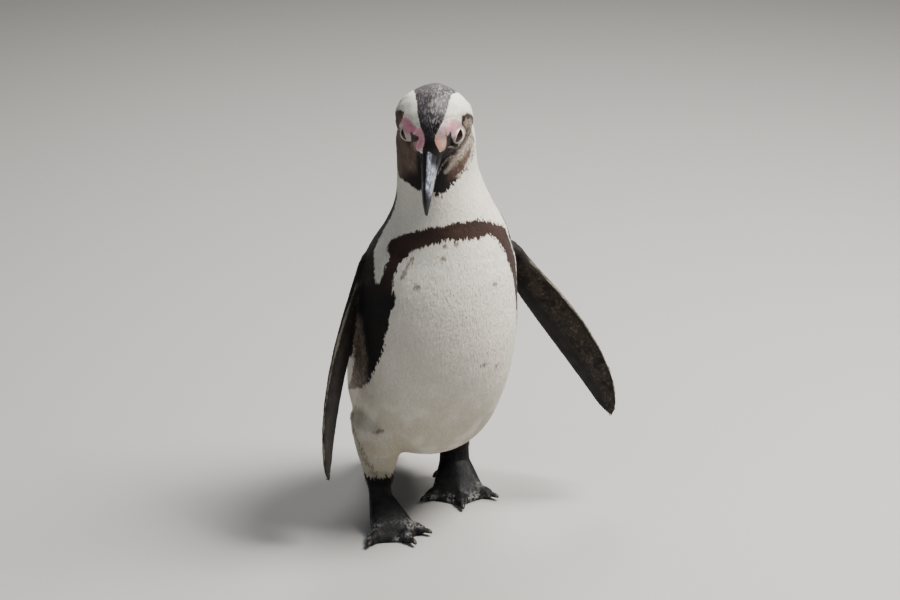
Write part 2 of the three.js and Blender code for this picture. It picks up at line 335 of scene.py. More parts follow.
@dataclass(frozen=True)
class HeadSet:
    """How the head sits on the bird and the eyes sit in the head."""

    centre: Colour = (-15.0, -58.0, 424.0)
    pitch: float = 50.0
    yaw: float = -24.0
    eye_ahead: float = 15.0
    eye_aside: float = 20.5
    eye_above: float = 6.0
    eye_radius: float = 8.0

    @property
    def turn(self) -> Array:
        """The rotation from the head's own axes to the bird's."""
        turned = Matrix.Rotation(math.radians(self.yaw), 3, "Z")
        return np.array(turned @ Matrix.Rotation(math.radians(self.pitch), 3, "X"))

    def inward(self, p: Array) -> Array:
        """Bird's millimetres to the head's (ahead, aside to the left, above)."""
        q = (p - np.array(self.centre)) @ self.turn
        return np.stack([-q[:, 1], q[:, 0], q[:, 2]], axis=1)

    def outward(self, q: Array) -> Array:
        """The head's (ahead, aside to the left, above) to the bird's millimetres."""
        q = np.atleast_2d(np.asarray(q, float))
        return np.stack([q[:, 1], -q[:, 0], q[:, 2]], axis=1) @ self.turn.T + np.array(self.centre)

    def aim(self, v: Array) -> Array:
        """A direction in the head's own axes as one in the bird's."""
        return self.outward(v) - np.array(self.centre)

    def eye(self, side: Side) -> Array:
        """The middle of one eyeball, in the head's own axes."""
        return np.array([self.eye_ahead, side.value * self.eye_aside, self.eye_above])

    def gaze(self, side: Side) -> Array:
        """Where the lids of one eye open to, in the head's own axes."""
        return unit(np.array([0.50, side.value * 0.70, 0.48]))

    def across(self, side: Side) -> tuple[Array, Array]:
        """The directions across one eye's opening: towards the bill, and up."""
        gaze = self.gaze(side)
        fore = unit(np.array([1.0, 0, 0]) - gaze[0] * gaze)
        return fore, np.cross(fore, gaze) * side.value

    def around_eye(self, q: Array, side: Side) -> tuple[Array, Array, Array]:
        """Reads points of the head from the middle of one eye's opening.

        Args:
            q: Points in the head's own axes.
            side: Which eye.

        Returns:
            Millimetres towards the bill, millimetres up, and degrees off the opening's middle.
        """
        fore, rise = self.across(side)
        v = q - self.eye(side)
        return v @ fore, v @ rise, degrees_off(v, self.gaze(side))

    def slit(self, side: Side) -> tuple[Array, Array, Array]:
        """Finds the gap between one eye's lids.

        Args:
            side: Which eye.

        Returns:
            The directions from the eye to its middle, along it, and across it.
        """
        fore, rise = self.across(side)
        ahead, up = (-0.09, 0.06) if side is Side.LEFT else (0.10, 0.18)
        middle = unit(self.gaze(side) + ahead * fore + up * rise)
        along = unit(fore - (fore @ middle) * middle)
        return middle, along, np.cross(along, middle) * side.value


@dataclass(frozen=True)
class Spine:
    """The line that the body's sections sit on, from the tail's root to the nape."""

    x: tuple[float, ...] = (-1, -1, 1, -2, -1.5, 0, 5, 1, -5.5, -8.5, -12, -13)
    y: tuple[float, ...] = (99, 78, 49, 23, 1, -12, -21, -28, -35, -42, -46, -50)
    z: tuple[float, ...] = (66, 84, 111, 143, 188, 241, 292, 334, 370, 398, 420, 432)

    def angle(self, p: Array) -> Array:
        """Reads points' degrees round the spine.

        Args:
            p: Points in millimetres.

        Returns:
            Degrees, 0 in front and growing to the bird's left.
        """
        x = p[:, 0] - np.interp(p[:, 2], self.z, self.x)
        y = p[:, 1] - np.interp(p[:, 2], self.z, self.y)
        return np.degrees(np.arctan2(x, -y))

    def down(self, z: Array, step: float = 10.0) -> Array:
        """Finds the direction down the spine.

        Args:
            z: Heights.
            step: How far above and below each height the spine is read.

        Returns:
            A direction for each height.
        """
        z = np.clip(z, self.z[0], self.z[-1])
        low, high = z - step, z + step
        v = [np.interp(low, self.z, c) - np.interp(high, self.z, c) for c in (self.x, self.y, self.z)]
        return unit(np.stack(v, axis=1))


@dataclass(frozen=True)
class Place:
    """Carries the bird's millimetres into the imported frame's metres and back."""

    shift: Array

    @classmethod
    def of(cls, head: HeadSet) -> "Place":
        """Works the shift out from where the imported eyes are.

        Args:
            head: The head's place in the bird's frame.

        Returns:
            The place.
        """
        corners = [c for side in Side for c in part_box(f"eye_{side.word}")]
        middle = np.mean([np.array(c) for c in corners], axis=0)
        between = np.array([[head.eye_ahead, 0.0, head.eye_above]])
        return cls(middle - head.outward(between)[0] / PER_METRE)

    def metres(self, p: Array) -> Array:
        """Bird's millimetres to packed metres."""
        return np.asarray(p, float) / PER_METRE + self.shift

    def shifted(self, p: Array) -> Array:
        """Bird's millimetres to packed millimetres."""
        return self.metres(p) * PER_METRE

    def millimetres(self, p: Array) -> Array:
        """Packed metres to the bird's millimetres."""
        return (np.asarray(p, float) - self.shift) * PER_METRE


def linked(name: str, data: bpy.types.ID) -> Object:
    """Makes an object of some data, and links it to the scene."""
    made = bpy.data.objects.new(name, data)
    bpy.context.scene.collection.objects.link(made)
    return made


def mesh_object(name: str, place: Place, points: Array, faces: list | Array) -> Object:
    """Makes a mesh object at the origin from points in the bird's millimetres.

    Args:
        name: The object's name.
        place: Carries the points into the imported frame.
        points: One row for each vertex.
        faces: Vertex numbers of each face.

    Returns:
        The object, linked to the scene and smoothly shaded.
    """
    mesh = bpy.data.meshes.new(name)
    mesh.from_pydata(place.metres(points).tolist(), [], [list(map(int, f)) for f in faces])
    mesh.validate()
    mesh.shade_smooth()
    return linked(name, mesh)


def merged(mesh: Mesh, place: Place) -> tuple[Array, Array]:
    """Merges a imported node's loose triangles.

    Args:
        mesh: The node's mesh.
        place: Carries its points to the bird's millimetres.

    Returns:
        Points in the bird's millimetres, and triangles.
    """
    mesh.calc_loop_triangles()
    p = place.millimetres(column(mesh.vertices, "co", 3))
    t = column(mesh.loop_triangles, "vertices", 3, int)
    _, first, back = np.unique(
        np.round(p, MERGE_DIGITS), axis=0, return_index=True, return_inverse=True
    )
    return p[first], back.ravel()[t]


def frozen(made: Object) -> Object:
    """Turns an object's modifiers into plain mesh, and clears its old mesh if nothing else uses it.

    Args:
        made: The object.

    Returns:
        The same object.
    """
    graph = bpy.context.evaluated_depsgraph_get()
    mesh = bpy.data.meshes.new_from_object(made.evaluated_get(graph), depsgraph=graph)
    old = made.data
    made.modifiers.clear()
    made.data = mesh
    if not old.users:
        bpy.data.meshes.remove(old)
    mesh.name = made.name
    return made


def finished(made: Object, slot: Slot, *nodes: str) -> Object:
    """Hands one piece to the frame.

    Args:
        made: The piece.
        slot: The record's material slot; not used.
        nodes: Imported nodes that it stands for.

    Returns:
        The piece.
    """
    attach(made, BODY)
    if nodes:
        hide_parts(*nodes)
    LOG.info("%s: %d faces, stands for %s", made.name, len(made.data.polygons), nodes or "none")
    return made


# ---- the skin ----

FLESH = (
    "trunk", "neck", "head", "tail", "leg_left", "leg_right",
    "wing_left", "wing_right", "foot_left", "foot_right",
)


@dataclass
class Skin:
    """One skin over all the flesh, under the plumage by the coat's depth."""

    nodes: dict[str, Object]
    place: Place
    head: HeadSet
    spine: Spine
    voxel: float = 1.5
    swell: float = 0.5
    kept: float = 0.45
    crown_depth: float = 1.25
    hollow: tuple[float, float] = (57.0, 66.0)
    hollow_reach: float = 22.0
    lid_edge: tuple[float, float] = (70.0, 19.0)
    open_reach: float = 9.2
    face_middle: Colour = (20.0, 0.0, 4.0)
    face_reach: float = 31.0
    crown_ends: float = 6.0
    combed_from: Colour = (44.0, 0.0, -2.0)
    draw_back: float = -1.02
    even_rounds: int = 60
    lid_reach: tuple[float, float] = (7.9, 21.0)
    no_skin: float = 9.0
    depth: dict[str, float] = field(
        default_factory=lambda: {
            "trunk": 1.6, "neck": 1.2, "head": 0.8, "tail": 1.1,
            "leg": 1.3, "wing": 1.0, "foot": 0.45,
        }
    )
    made: Object = field(init=False)
    points: Array = field(init=False)
    normals: Array = field(init=False)
    owner: Array = field(init=False)
    lie: Array = field(init=False)
    edges: Array = field(init=False)
    lids_from: int = field(init=False, default=0)
    pit: Array = field(init=False)

    def solids(self) -> tuple[Array, Array, Array]:
        """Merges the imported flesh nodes' loose triangles.

        Returns:
            Points in the bird's millimetres, triangles, and each triangle's node number.
        """
        points, faces, owner, count = [], [], [], 0
        for number, name in enumerate(FLESH):
            p, t = merged(self.nodes[name].data, self.place)
            points.append(p)
            faces.append(t + count)
            owner.append(np.full(len(t), number))
            count += len(p)
        return np.vstack(points), np.vstack(faces), np.concatenate(owner)

    def fused(self, p: Array, t: Array) -> Object:
        """Swells the solids a little, so that they meet, and fuses them to one even mesh.

        Args:
            p: The solids' points in the bird's millimetres.
            t: Their triangles.

        Returns:
            The fused object.
        """
        corner = p[t]
        n = np.cross(corner[:, 1] - corner[:, 0], corner[:, 2] - corner[:, 0])
        out = np.zeros_like(p)
        for k in range(3):
            np.add.at(out, t[:, k], n)
        made = mesh_object("skin", self.place, p + self.swell * unit(out), t)
        fuse = made.modifiers.new("fuse", "REMESH")
        fuse.mode, fuse.voxel_size, fuse.use_smooth_shade = "VOXEL", self.voxel / PER_METRE, True
        return frozen(made)

    def read(self) -> None:
        """Reads the mesh's points, edges and normals afresh."""
        mesh = self.made.data
        self.points = self.place.millimetres(column(mesh.vertices, "co", 3))
        self.edges = column(mesh.edges, "vertices", 2, int)
        mesh.update()
        self.normals = column(mesh.vertex_normals, "vector", 3)

    def tree(self) -> BVHTree:
        """The skin's faces, in packed millimetres."""
        faces = [tuple(f.vertices) for f in self.made.data.polygons]
        return BVHTree.FromPolygons(self.place.shifted(self.points).tolist(), faces)

    def write(self, points: Array) -> None:
        """Moves the mesh's vertices to new points."""
        mesh = self.made.data
        mesh.vertices.foreach_set("co", self.place.metres(points).astype(np.float32).ravel())
        self.read()

    def named(self, *names: str) -> Array:
        """Which vertices lie nearest to nodes whose names start with one of the words."""
        chosen = [i for i, n in enumerate(FLESH) if n.startswith(names)]
        return np.isin(self.owner, chosen)

    def own(self, tree: BVHTree, owner: Array) -> None:
        """Finds the solid that each vertex belongs to, from the triangles' tree and their owners."""
        hits = [tree.find_nearest(p)[2] for p in self.points.tolist()]
        self.owner = owner[np.array(hits)]

    def smooth(self) -> None:
        """Takes the solids' facets off without drawing the form in."""
        share = np.where(self.named("trunk", "neck"), 0.62, 0.5)
        thin = self.named("wing", "foot", "tail")
        for rounds, where in ((3, np.ones(len(self.points), bool)), (13, ~thin)):
            s = share * where
            p = self.points
            for _ in range(rounds):
                p = relaxed(p, self.edges, 1, s)
                p = relaxed(p, self.edges, 1, self.draw_back * s)
            self.write(p)
        body = relaxed(self.named("trunk", "neck").astype(float)[:, None], self.edges, 12)[:, 0]
        even = relaxed(self.points, self.edges, self.even_rounds, 0.6 * body)
        self.write(even + 0.4 * body[:, None] * self.normals)

    def thin_out(self) -> None:
        """Coarsens the trunk, which the plumage covers, and leaves the fine parts."""
        group = self.made.vertex_groups.new(name="plain")
        inside = self.named("trunk", "neck")
        weight = relaxed(inside.astype(float)[:, None], self.edges, 4)[:, 0]
        chosen = np.flatnonzero(inside & (weight > 0.97))
        group.add(chosen.tolist(), 1.0, "REPLACE")
        fewer = self.made.modifiers.new("fewer", "DECIMATE")
        fewer.ratio, fewer.vertex_group = self.kept, "plain"
        frozen(self.made)
        self.made.vertex_groups.clear()
        self.read()

    def refine_face(self) -> None:
        """Doubles the mesh on the face, where lids and bare skin show."""
        q = self.head.inward(self.points)
        near = np.linalg.norm(q - self.face_middle, axis=1) < self.face_reach
        face = near & (q[:, 0] > 0) & self.named("head")
        with edited(self.made.data) as work:
            work.verts.ensure_lookup_table()
            edges = [e for e in work.edges if face[e.verts[0].index] and face[e.verts[1].index]]
            bmesh.ops.subdivide_edges(work, edges=edges, cuts=1, use_grid_fill=True)
            bmesh.ops.triangulate(work, faces=[f for f in work.faces if len(f.verts) > 4])
        self.read()

    def sink(self) -> None:
        """Draws the skin in by the depth of the coat, and keeps the soles on the floor."""
        depth = np.zeros(len(self.points))
        for name, value in self.depth.items():
            depth[self.named(name)] = value
        crown = self.named("head") & (self.head.inward(self.points)[:, 0] < self.crown_ends)
        depth[crown] = self.crown_depth
        depth = relaxed(depth[:, None], self.edges, 10)
        p = self.points - depth * self.normals
        feet = self.named("foot")
        p[feet, 2] = np.maximum(p[feet, 2], 0.0)
        self.write(p)

    def carve(self) -> None:
        """Models the brow, the lores and the cheek."""
        q = self.head.inward(self.points)
        n = self.normals
        move = np.zeros(len(q))
        for side in Side:
            s = side.value
            for a, b, reach, rise in (
                ((0, 27 * s, 17), (21, 14 * s, 21), 6.0, 0.9),
                ((22, 19 * s, 4), (33, 10 * s, 2), 6.0, -1.3),
                ((14, 27 * s, -10), (26, 19 * s, -18), 11.0, 0.8),
            ):
                away, _ = segment_distance(q, np.array(a), np.array(b))
                move += rise * np.exp(-((away / reach) ** 2) * 1.6)
        self.write(self.points + move[:, None] * n)

    def lid(self, side: Side, tree: BVHTree) -> tuple[Array, list[tuple[int, ...]]]:
        """Models both lids of one eye as a folded ring with an almond opening.

        Args:
            side: Which eye.
            tree: The skin round it, which the ring's outer edge meets.

        Returns:
            Points in the bird's millimetres, and faces.
        """
        around, rings = 72, 18
        eye = self.head.eye(side)
        gaze, fore, rise = self.head.slit(side)
        r = self.head.eye_radius
        turn = np.arange(around) * TURN / around
        long, high, low, tilt = (51, 23, 29, 5) if side is Side.LEFT else (43, 16, 16, 8)
        tilted = turn + math.radians(tilt)
        tall = np.where(np.sin(tilted) > 0, high, low)
        almond = 1.55
        opening = np.abs(np.cos(tilted) / long) ** almond + np.abs(np.sin(tilted) / tall) ** almond
        opening = opening ** (-1 / almond)

        def cast(degrees: Array) -> tuple[Array, Array]:
            """Looks from the eye, so many degrees off the slit's middle, at the skin round it.

            Args:
                degrees: The angle for each point round it.

            Returns:
                The directions, and how far the skin is.
            """
            off = np.radians(degrees)
            aim = np.cos(off)[:, None] * gaze + np.sin(off)[:, None] * (
                np.cos(turn)[:, None] * fore + np.sin(turn)[:, None] * rise
            )
            far = self.place.shifted(self.head.outward(eye + aim * 24))
            near = self.place.shifted(self.head.outward(eye))[0]
            hits = [tree.ray_cast(Vector(start), Vector(near - start))[0] for start in far]
            found = [self.no_skin if hit is None else (hit - Vector(near)).length for hit in hits]
            return aim, np.array(found)

        # where the ball bulges out of the skin, the lids reach further round it
        open_side = (cast(np.full(around, self.hollow[1]))[1] < self.open_reach).astype(float)
        wide = np.hanning(13) / np.hanning(13).sum()
        least, more = self.lid_edge
        edge = least + more * np.convolve(np.pad(open_side, 6, mode="wrap"), wide, "valid")
        points = []
        for ring in range(rings):
            t = max(0.0, (ring - 1) / (rings - 2))
            aim, reach = cast(opening + (edge - opening) * t)
            skin = np.clip(reach, *self.lid_reach)
            ease = float(ramp(np.array(t), 0.1, 1.0))
            lip = 0.42 * bell(t, 0.12, 0.10)
            fold = 0.16 * bell(t, 0.42, 0.08) + 0.10 * bell(t, 0.66, 0.07)
            level = (r + 0.30) + (skin - 0.12 - (r + 0.30)) * ease + lip - fold
            if ring == 0:
                level = np.full(around, r - 0.5)
            elif ring < rings - 1:
                level = np.maximum(level, r + 0.25)
            points.append(self.head.outward(eye + aim * level[:, None]))
        faces = tube(rings, around)
        return np.vstack(points), faces if side is Side.RIGHT else [quad[::-1] for quad in faces]

    def open_eyes(self) -> None:
        """Hollows the skin behind each eyeball and lays the lids over it."""
        tree = self.tree()
        lids = [self.lid(side, tree) for side in Side]
        q = self.head.inward(self.points)
        pit = np.zeros(len(q), bool)
        for side in Side:
            eye, gaze = self.head.eye(side), self.head.slit(side)[0]
            v = q - eye
            reach = np.linalg.norm(v, axis=1)
            share = ramp(degrees_off(v, gaze), self.hollow[1], self.hollow[0])
            share = share * (reach < self.hollow_reach)
            pit |= share > 0
            wanted = np.minimum(reach, self.head.eye_radius - 1.0)
            q = eye + unit(v) * (reach + (wanted - reach) * share)[:, None]
        moved = self.points.copy()
        head = self.named("head")
        moved[head] = self.head.outward(q[head])
        self.write(moved)
        self.lids_from = len(self.points)
        self.pit = pit & head
        with edited(self.made.data) as work:
            for points, quads in lids:
                ring = [work.verts.new(p) for p in self.place.metres(points)]
                for quad in quads:
                    work.faces.new([ring[i] for i in quad]).smooth = True
        self.read()

    def comb(self) -> None:
        """Lays down which way the feathers lie, and stores it on the mesh."""
        q = self.head.inward(self.points)
        p = self.points
        lie = self.spine.down(p[:, 2])
        ahead = q - self.combed_from
        on_head = self.named("head")
        lie[on_head] = self.head.aim(unit(ahead[on_head]))
        lie[self.named("tail")] = unit(np.array([-2.0, 39.0, -65.0]))
        lie[self.named("leg")] = unit(np.array([0.0, 0.12, -1.0]))
        for side in Side:
            wing = FLIPPERS[side]
            lie[self.named(f"wing_{side.word}")] = unit(0.9 * wing.along + 0.42 * wing.backward)
        lie[self.named("foot")] = (0.0, -0.9, -0.1)
        up = relaxed(self.normals, self.edges, 5)
        for _ in range(4):
            lie = relaxed(lie, self.edges, 6)
            lie = unit(lie - np.sum(lie * up, axis=1)[:, None] * up)
        self.lie = lie
        put(self.made.data, "lie", lie, "FLOAT_VECTOR")
        put(self.made.data, "up", unit(up), "FLOAT_VECTOR")

    def build(self) -> Object:
        """Makes the skin.

        Returns:
            The skin's object.
        """
        p, t, owner = self.solids()
        tree = BVHTree.FromPolygons(p.tolist(), t.tolist())
        self.made = self.fused(p, t)
        self.read()
        self.own(tree, owner)
        self.smooth()
        self.thin_out()
        self.own(tree, owner)
        self.refine_face()
        self.own(tree, owner)
        self.sink()
        self.carve()
        self.open_eyes()
        self.own(tree, owner)
        self.comb()
        return self.made


# ---- the flippers' own measures ----


@dataclass(frozen=True)
class Flipper:
    """One flipper's axes: along it, and across it towards the trailing edge."""

    shoulder: Colour
    span: Colour
    trailing: Colour
    bow: float
    leading_edge: tuple[tuple[float, float], ...] = (
        (0, 15), (0.16, 15), (0.35, 23), (0.52, 28), (0.68, 28), (0.82, 24), (0.93, 14), (1, 5),
    )
    trailing_edge: tuple[tuple[float, float], ...] = (
        (0, 15), (0.16, 22), (0.35, 26), (0.52, 24), (0.68, 19.5), (0.82, 14.5), (0.93, 10), (1, 4),
    )

    @property
    def along(self) -> Array:
        """The direction from shoulder to tip."""
        return unit(np.array(self.span, float))

    @property
    def backward(self) -> Array:
        """The direction towards the trailing edge."""
        b = np.array(self.trailing, float)
        return unit(b - (b @ self.along) * self.along)

    @property
    def outer(self) -> Array:
        """The direction that the upper face looks."""
        n = np.cross(self.along, self.backward)
        return n * np.sign(n[0] * self.span[0])

    def places(self, p: Array) -> tuple[Array, Array, Array]:
        """Reads points in the flipper's own terms.

        Args:
            p: Points in millimetres.

        Returns:
            The share along it, the millimetres behind the leading edge as a share of the
            width there, and the millimetres outside its middle surface.
        """
        v = p - np.array(self.shoulder, float)
        length = np.linalg.norm(self.span)
        a = np.clip(v @ self.along / length, 0, 1)
        lead, trail = table(a, *self.leading_edge), table(a, *self.trailing_edge)
        across = v @ self.backward - (trail - lead) / 2
        across = np.clip((across + (lead + trail) / 2) / (lead + trail), 0, 1)
        return a, across, v @ self.outer - 4 * self.bow * a * (1 - a)


FLIPPERS = {
    Side.RIGHT: Flipper((-58, -2, 286), (-60, -47, -212), (22, 39, -17), 11),
    Side.LEFT: Flipper((64, -4, 284), (116, -8, -196), (-21, 36, -29), 9),
}


# ---- markings ----


@dataclass(frozen=True)
class Pigments:
    """The bird's colours."""

    white: Colour = (0.74, 0.71, 0.635)
    # near-white for painted sunlight on the chest
    wet: Colour = (0.97, 0.97, 0.96)
    # for real stains, for painted shade low on the belly and for a painted highlight on the flippers'
    # leading edges
    stained: Colour = (0.50, 0.455, 0.36)
    black: Colour = (0.022, 0.019, 0.019)
    brown: Colour = (0.055, 0.036, 0.029)
    band: Colour = (0.048, 0.027, 0.022)
    flank: Colour = (0.014, 0.011, 0.011)
    worn: Colour = (0.22, 0.165, 0.13)
    tan: Colour = (0.34, 0.28, 0.23)
    cheek: Colour = (0.17, 0.12, 0.095)
    rust: Colour = (0.085, 0.046, 0.035)
    olive: Colour = (0.075, 0.060, 0.043)
    # a bluish-grey painted sheen on the flippers
    slate: Colour = (0.040, 0.042, 0.050)
    crown: Colour = (0.045, 0.040, 0.043)
    grey: Colour = (0.34, 0.32, 0.33)
    pink: Colour = (0.56, 0.175, 0.22)
    # the bare pink in painted shade, for the shaded right face
    mauve: Colour = (0.56, 0.25, 0.33)
    pale_pink: Colour = (0.70, 0.40, 0.43)
    faint_pink: Colour = (0.76, 0.57, 0.56)
    peach: Colour = (0.68, 0.39, 0.31)
    rim: Colour = (0.62, 0.55, 0.49)
    lores: Colour = (0.050, 0.040, 0.042)
    gape: Colour = (0.34, 0.32, 0.27)
    foot: Colour = (0.016, 0.016, 0.018)
    dust: Colour = (0.30, 0.29, 0.27)


@dataclass(frozen=True)
class Patch:
    """One mark on the face, outlined in millimetres from an eye: towards the bill, and up."""

    colour: Colour
    outline: tuple[tuple[float, float], ...]
    strength: float = 1.0
    soft: float = 0.6
    bare: bool = False
    open_line: bool = False

    def share(self, at: Array) -> Array:
        """How far the mark covers points.

        Args:
            at: Points, as two columns in millimetres.

        Returns:
            Shares, 0 to 1. An open line is one and a half soft edges wide.
        """
        corners = np.array(self.outline, float)
        ends = corners[1:] if self.open_line else np.roll(corners, -1, axis=0)
        inside = np.zeros(len(at), bool)
        away = np.full(len(at), 1e9)
        for a, b in zip(corners, ends):
            away = np.minimum(away, segment_distance(at, a, b)[0])
            if not self.open_line and a[1] != b[1]:
                crossed = (a[1] > at[:, 1]) != (b[1] > at[:, 1])
                meets = a[0] + (at[:, 1] - a[1]) * (b[0] - a[0]) / (b[1] - a[1])
                inside ^= crossed & (at[:, 0] < meets)
        if self.open_line:
            return ramp(away, 1.5 * self.soft, 0.4 * self.soft) * self.strength
        return ramp(np.where(inside, away, -away), -self.soft, self.soft) * self.strength


INK = Pigments()

RIGHT_FACE = (
    # the bare skin over the eye, deepest in the middle, and its strip down to the bill; its darker, bluer
    # pink is painted shade
    Patch(INK.pale_pink, ((-12.5, 11), (-12.4, 15), (-7.5, 18), (-2.3, 20.5), (1, 21.5), (2, 24.5),
          (9, 23), (14, 21), (18, 18), (20, 11), (19, 5.5), (15.7, 6), (12.4, 11.5), (9.2, 16),
          (6.5, 15), (3.3, 14), (3.2, 9), (6, 4.5), (3.4, 3), (-2, 2), (-8, 3), (-10.5, 6)), 1.0, 0.6,
          True),
    Patch(INK.mauve, ((-10.5, 7), (-10.5, 14), (-5, 18), (0.5, 20), (4, 18), (3.4, 12), (2.6, 7.5),
          (-1, 5.2), (-6, 5.2)), 0.9, 1.8),
    Patch(INK.mauve, ((4, 20), (8, 21), (13, 19.5), (17.5, 15), (18.4, 10), (16.5, 7.5), (13, 12.5),
          (9.6, 17), (6, 17)), 0.62, 1.8),
    # the pale rim round the slit, and the skin under it
    Patch(INK.rim, ((-10.5, 4.5), (-8.6, 5.2), (-5, 4.2), (-1, 5.4), (4, 5.8), (7.4, 6.8), (8.4, 3),
          (8, -0.5), (5.4, -2.2), (1.5, -3), (-2.5, -3.6), (-6, -4.4), (-9, -1.5)), 0.95, 0.6, True),
    Patch(INK.olive, ((-6.5, -4.6), (-2, -3.6), (2, -3), (6, -2), (8.6, 0), (12, -3), (10, -9),
          (3, -11), (-4, -10)), 0.75, 1.4),
    # the black spikes between eye and bill, and the streaks below them
    Patch(INK.black, ((1.6, 11.4), (2.4, 13.6), (4.4, 12.8), (5.6, 15.4), (9, 18), (11, 16), (12, 11.6),
          (11, 6), (9.6, 0), (8.2, 2.5), (6.8, 6), (5, 7.6), (3.2, 8.6)), 0.95, 0.5, True),
    Patch(INK.cheek, ((9, 2), (10.6, 10.5), (12.6, 12.2), (15.7, 6.6), (18.6, 4.6), (20, -4), (14, -10),
          (9.4, -5)), 0.8, 0.8, True),
    Patch(INK.mauve, ((11.8, 10), (13.6, 6), (15.6, 0), (16.6, -5)), 0.5, 0.7, False, True),
)
LEFT_FACE = (
    # the bare skin over the eye fades to white towards the crown
    Patch(INK.faint_pink, ((-13, 6), (-14, 12), (-11.5, 17), (-8, 20.5), (-3.9, 22.5), (3, 22.5),
          (4.4, 21), (3, 15), (2.8, 11), (4.5, 6), (7, 2), (8.4, -3), (5.6, -8.5), (1, -10.8),
          (-4, -9.8), (-8, -6), (-10.6, 1)), 1.0, 1.0, True),
    Patch(INK.pale_pink, ((-10.5, 8), (-10.5, 13), (-6.5, 18), (-1.5, 19.5), (2, 17), (1.4, 12),
          (0.4, 9), (-3, 5), (-7.5, 4.5)), 0.95, 2.4),
    Patch(INK.pink, ((-6, 14.5), (-4.5, 10), (-2.2, 11), (-1.5, 16)), 0.45, 2.4),
    Patch(INK.rim, ((-8.2, 2.8), (-5, 4.8), (-1, 5), (3, 5), (6.8, 3.4), (7.4, 0), (5, -2.6), (0, -3.8),
          (-4, -4.2), (-7.4, -2.4)), 0.6, 1.0),
    Patch(INK.peach, ((4.8, 21), (3.4, 17.6), (3.6, 14.2), (6.2, 11.2), (9, 8.4), (12.5, 6.8),
          (15.5, 4.6), (18.8, 8.6), (18.4, 12.4), (16.2, 15.6), (14.2, 18.2), (11.3, 20.4),
          (8.5, 21.2)), 1.0, 0.6, True),
    Patch(INK.faint_pink, ((2.6, 20.5), (4, 14.6), (6.6, 11.6), (9.4, 9), (12.6, 8), (12.4, 11),
          (9.4, 16), (8, 20.6)), 0.8, 1.9),
    # two black prongs, the bar under the eye, and the dark skin down to the gape
    Patch(INK.black, ((1, 17.2), (2.6, 14.6), (4, 11.6), (2.2, 11.8), (-1.6, 13.6), (0.2, 9.8),
          (3.4, 5.8), (6.2, 1.6), (6.6, -3.4), (5.6, -9), (7.6, -12), (9.6, -7.6), (10.4, -1.4),
          (12, 2), (15.4, -3.2), (16.6, 2.6), (15.2, 5), (12.4, 6.6), (9, 8.6), (6.2, 11.4),
          (3.4, 14.8)), 0.97, 0.45, True),
    Patch(INK.lores, ((19.6, 8.6), (15.6, 4.4), (12.6, 1), (11.4, -8), (10.4, -15), (13.2, -19.5),
          (17, -18), (19, -15), (22.6, -14), (24, -4), (22, 6)), 0.92, 0.9),
    Patch(INK.grey, ((11.5, -6), (13, -10), (16, -8), (15.5, -4)), 0.3, 1.2),
    # the fine black line behind the eye, hooked over the cheek
    Patch(INK.brown, ((-18.6, 8.6), (-15.4, 6.6), (-11.6, 4), (-10.6, 1), (-11.8, 0.8), (-16.8, 2.4),
          (-20.8, 3.6)), 1.0, 0.7),
    Patch(INK.brown, ((-20.4, 5), (-22.6, 3), (-23.2, -2), (-22.2, -8), (-21, -14), (-19.6, -12),
          (-19.6, -4.6), (-18, 0.4)), 1.0, 0.9),
    Patch(INK.black, ((-11.6, 2), (-9.9, -2.5), (-7, -8), (-3.4, -11.6), (1, -13.4), (5, -14)), 0.95,
          0.75, False, True),
    # the cheek: pale streak, rusty slant under it
    Patch(INK.rust, ((4, -33), (11, -31.6), (17.2, -28.4), (24, -26.6), (31.7, -25.4), (37, -24),
          (41, -27), (30.5, -31.6), (22.4, -36), (14.7, -35.8), (6, -37.6)), 0.8, 1.6),
    Patch(INK.rim, ((1, -27.8), (10, -24.4), (20, -22), (28.5, -21.4), (34, -20.6)), 0.45, 1.9, False,
          True),
    Patch(INK.gape, ((18.2, -15.4), (24.6, -15), (31, -15), (38.4, -15.8)), 0.9, 0.6, False, True),
)
PATCHES = {Side.RIGHT: RIGHT_FACE, Side.LEFT: LEFT_FACE}

# the dark spots on the white: degrees round the spine, and height
SPOTS = (
    (-15, 310), (-16, 299), (-4, 311), (-34, 272), (27, 269), (-45, 295), (-46, 291), (-47, 287),
    (-46, 282), (-48, 278), (18, 189), (29, 183), (-38, 104),
)


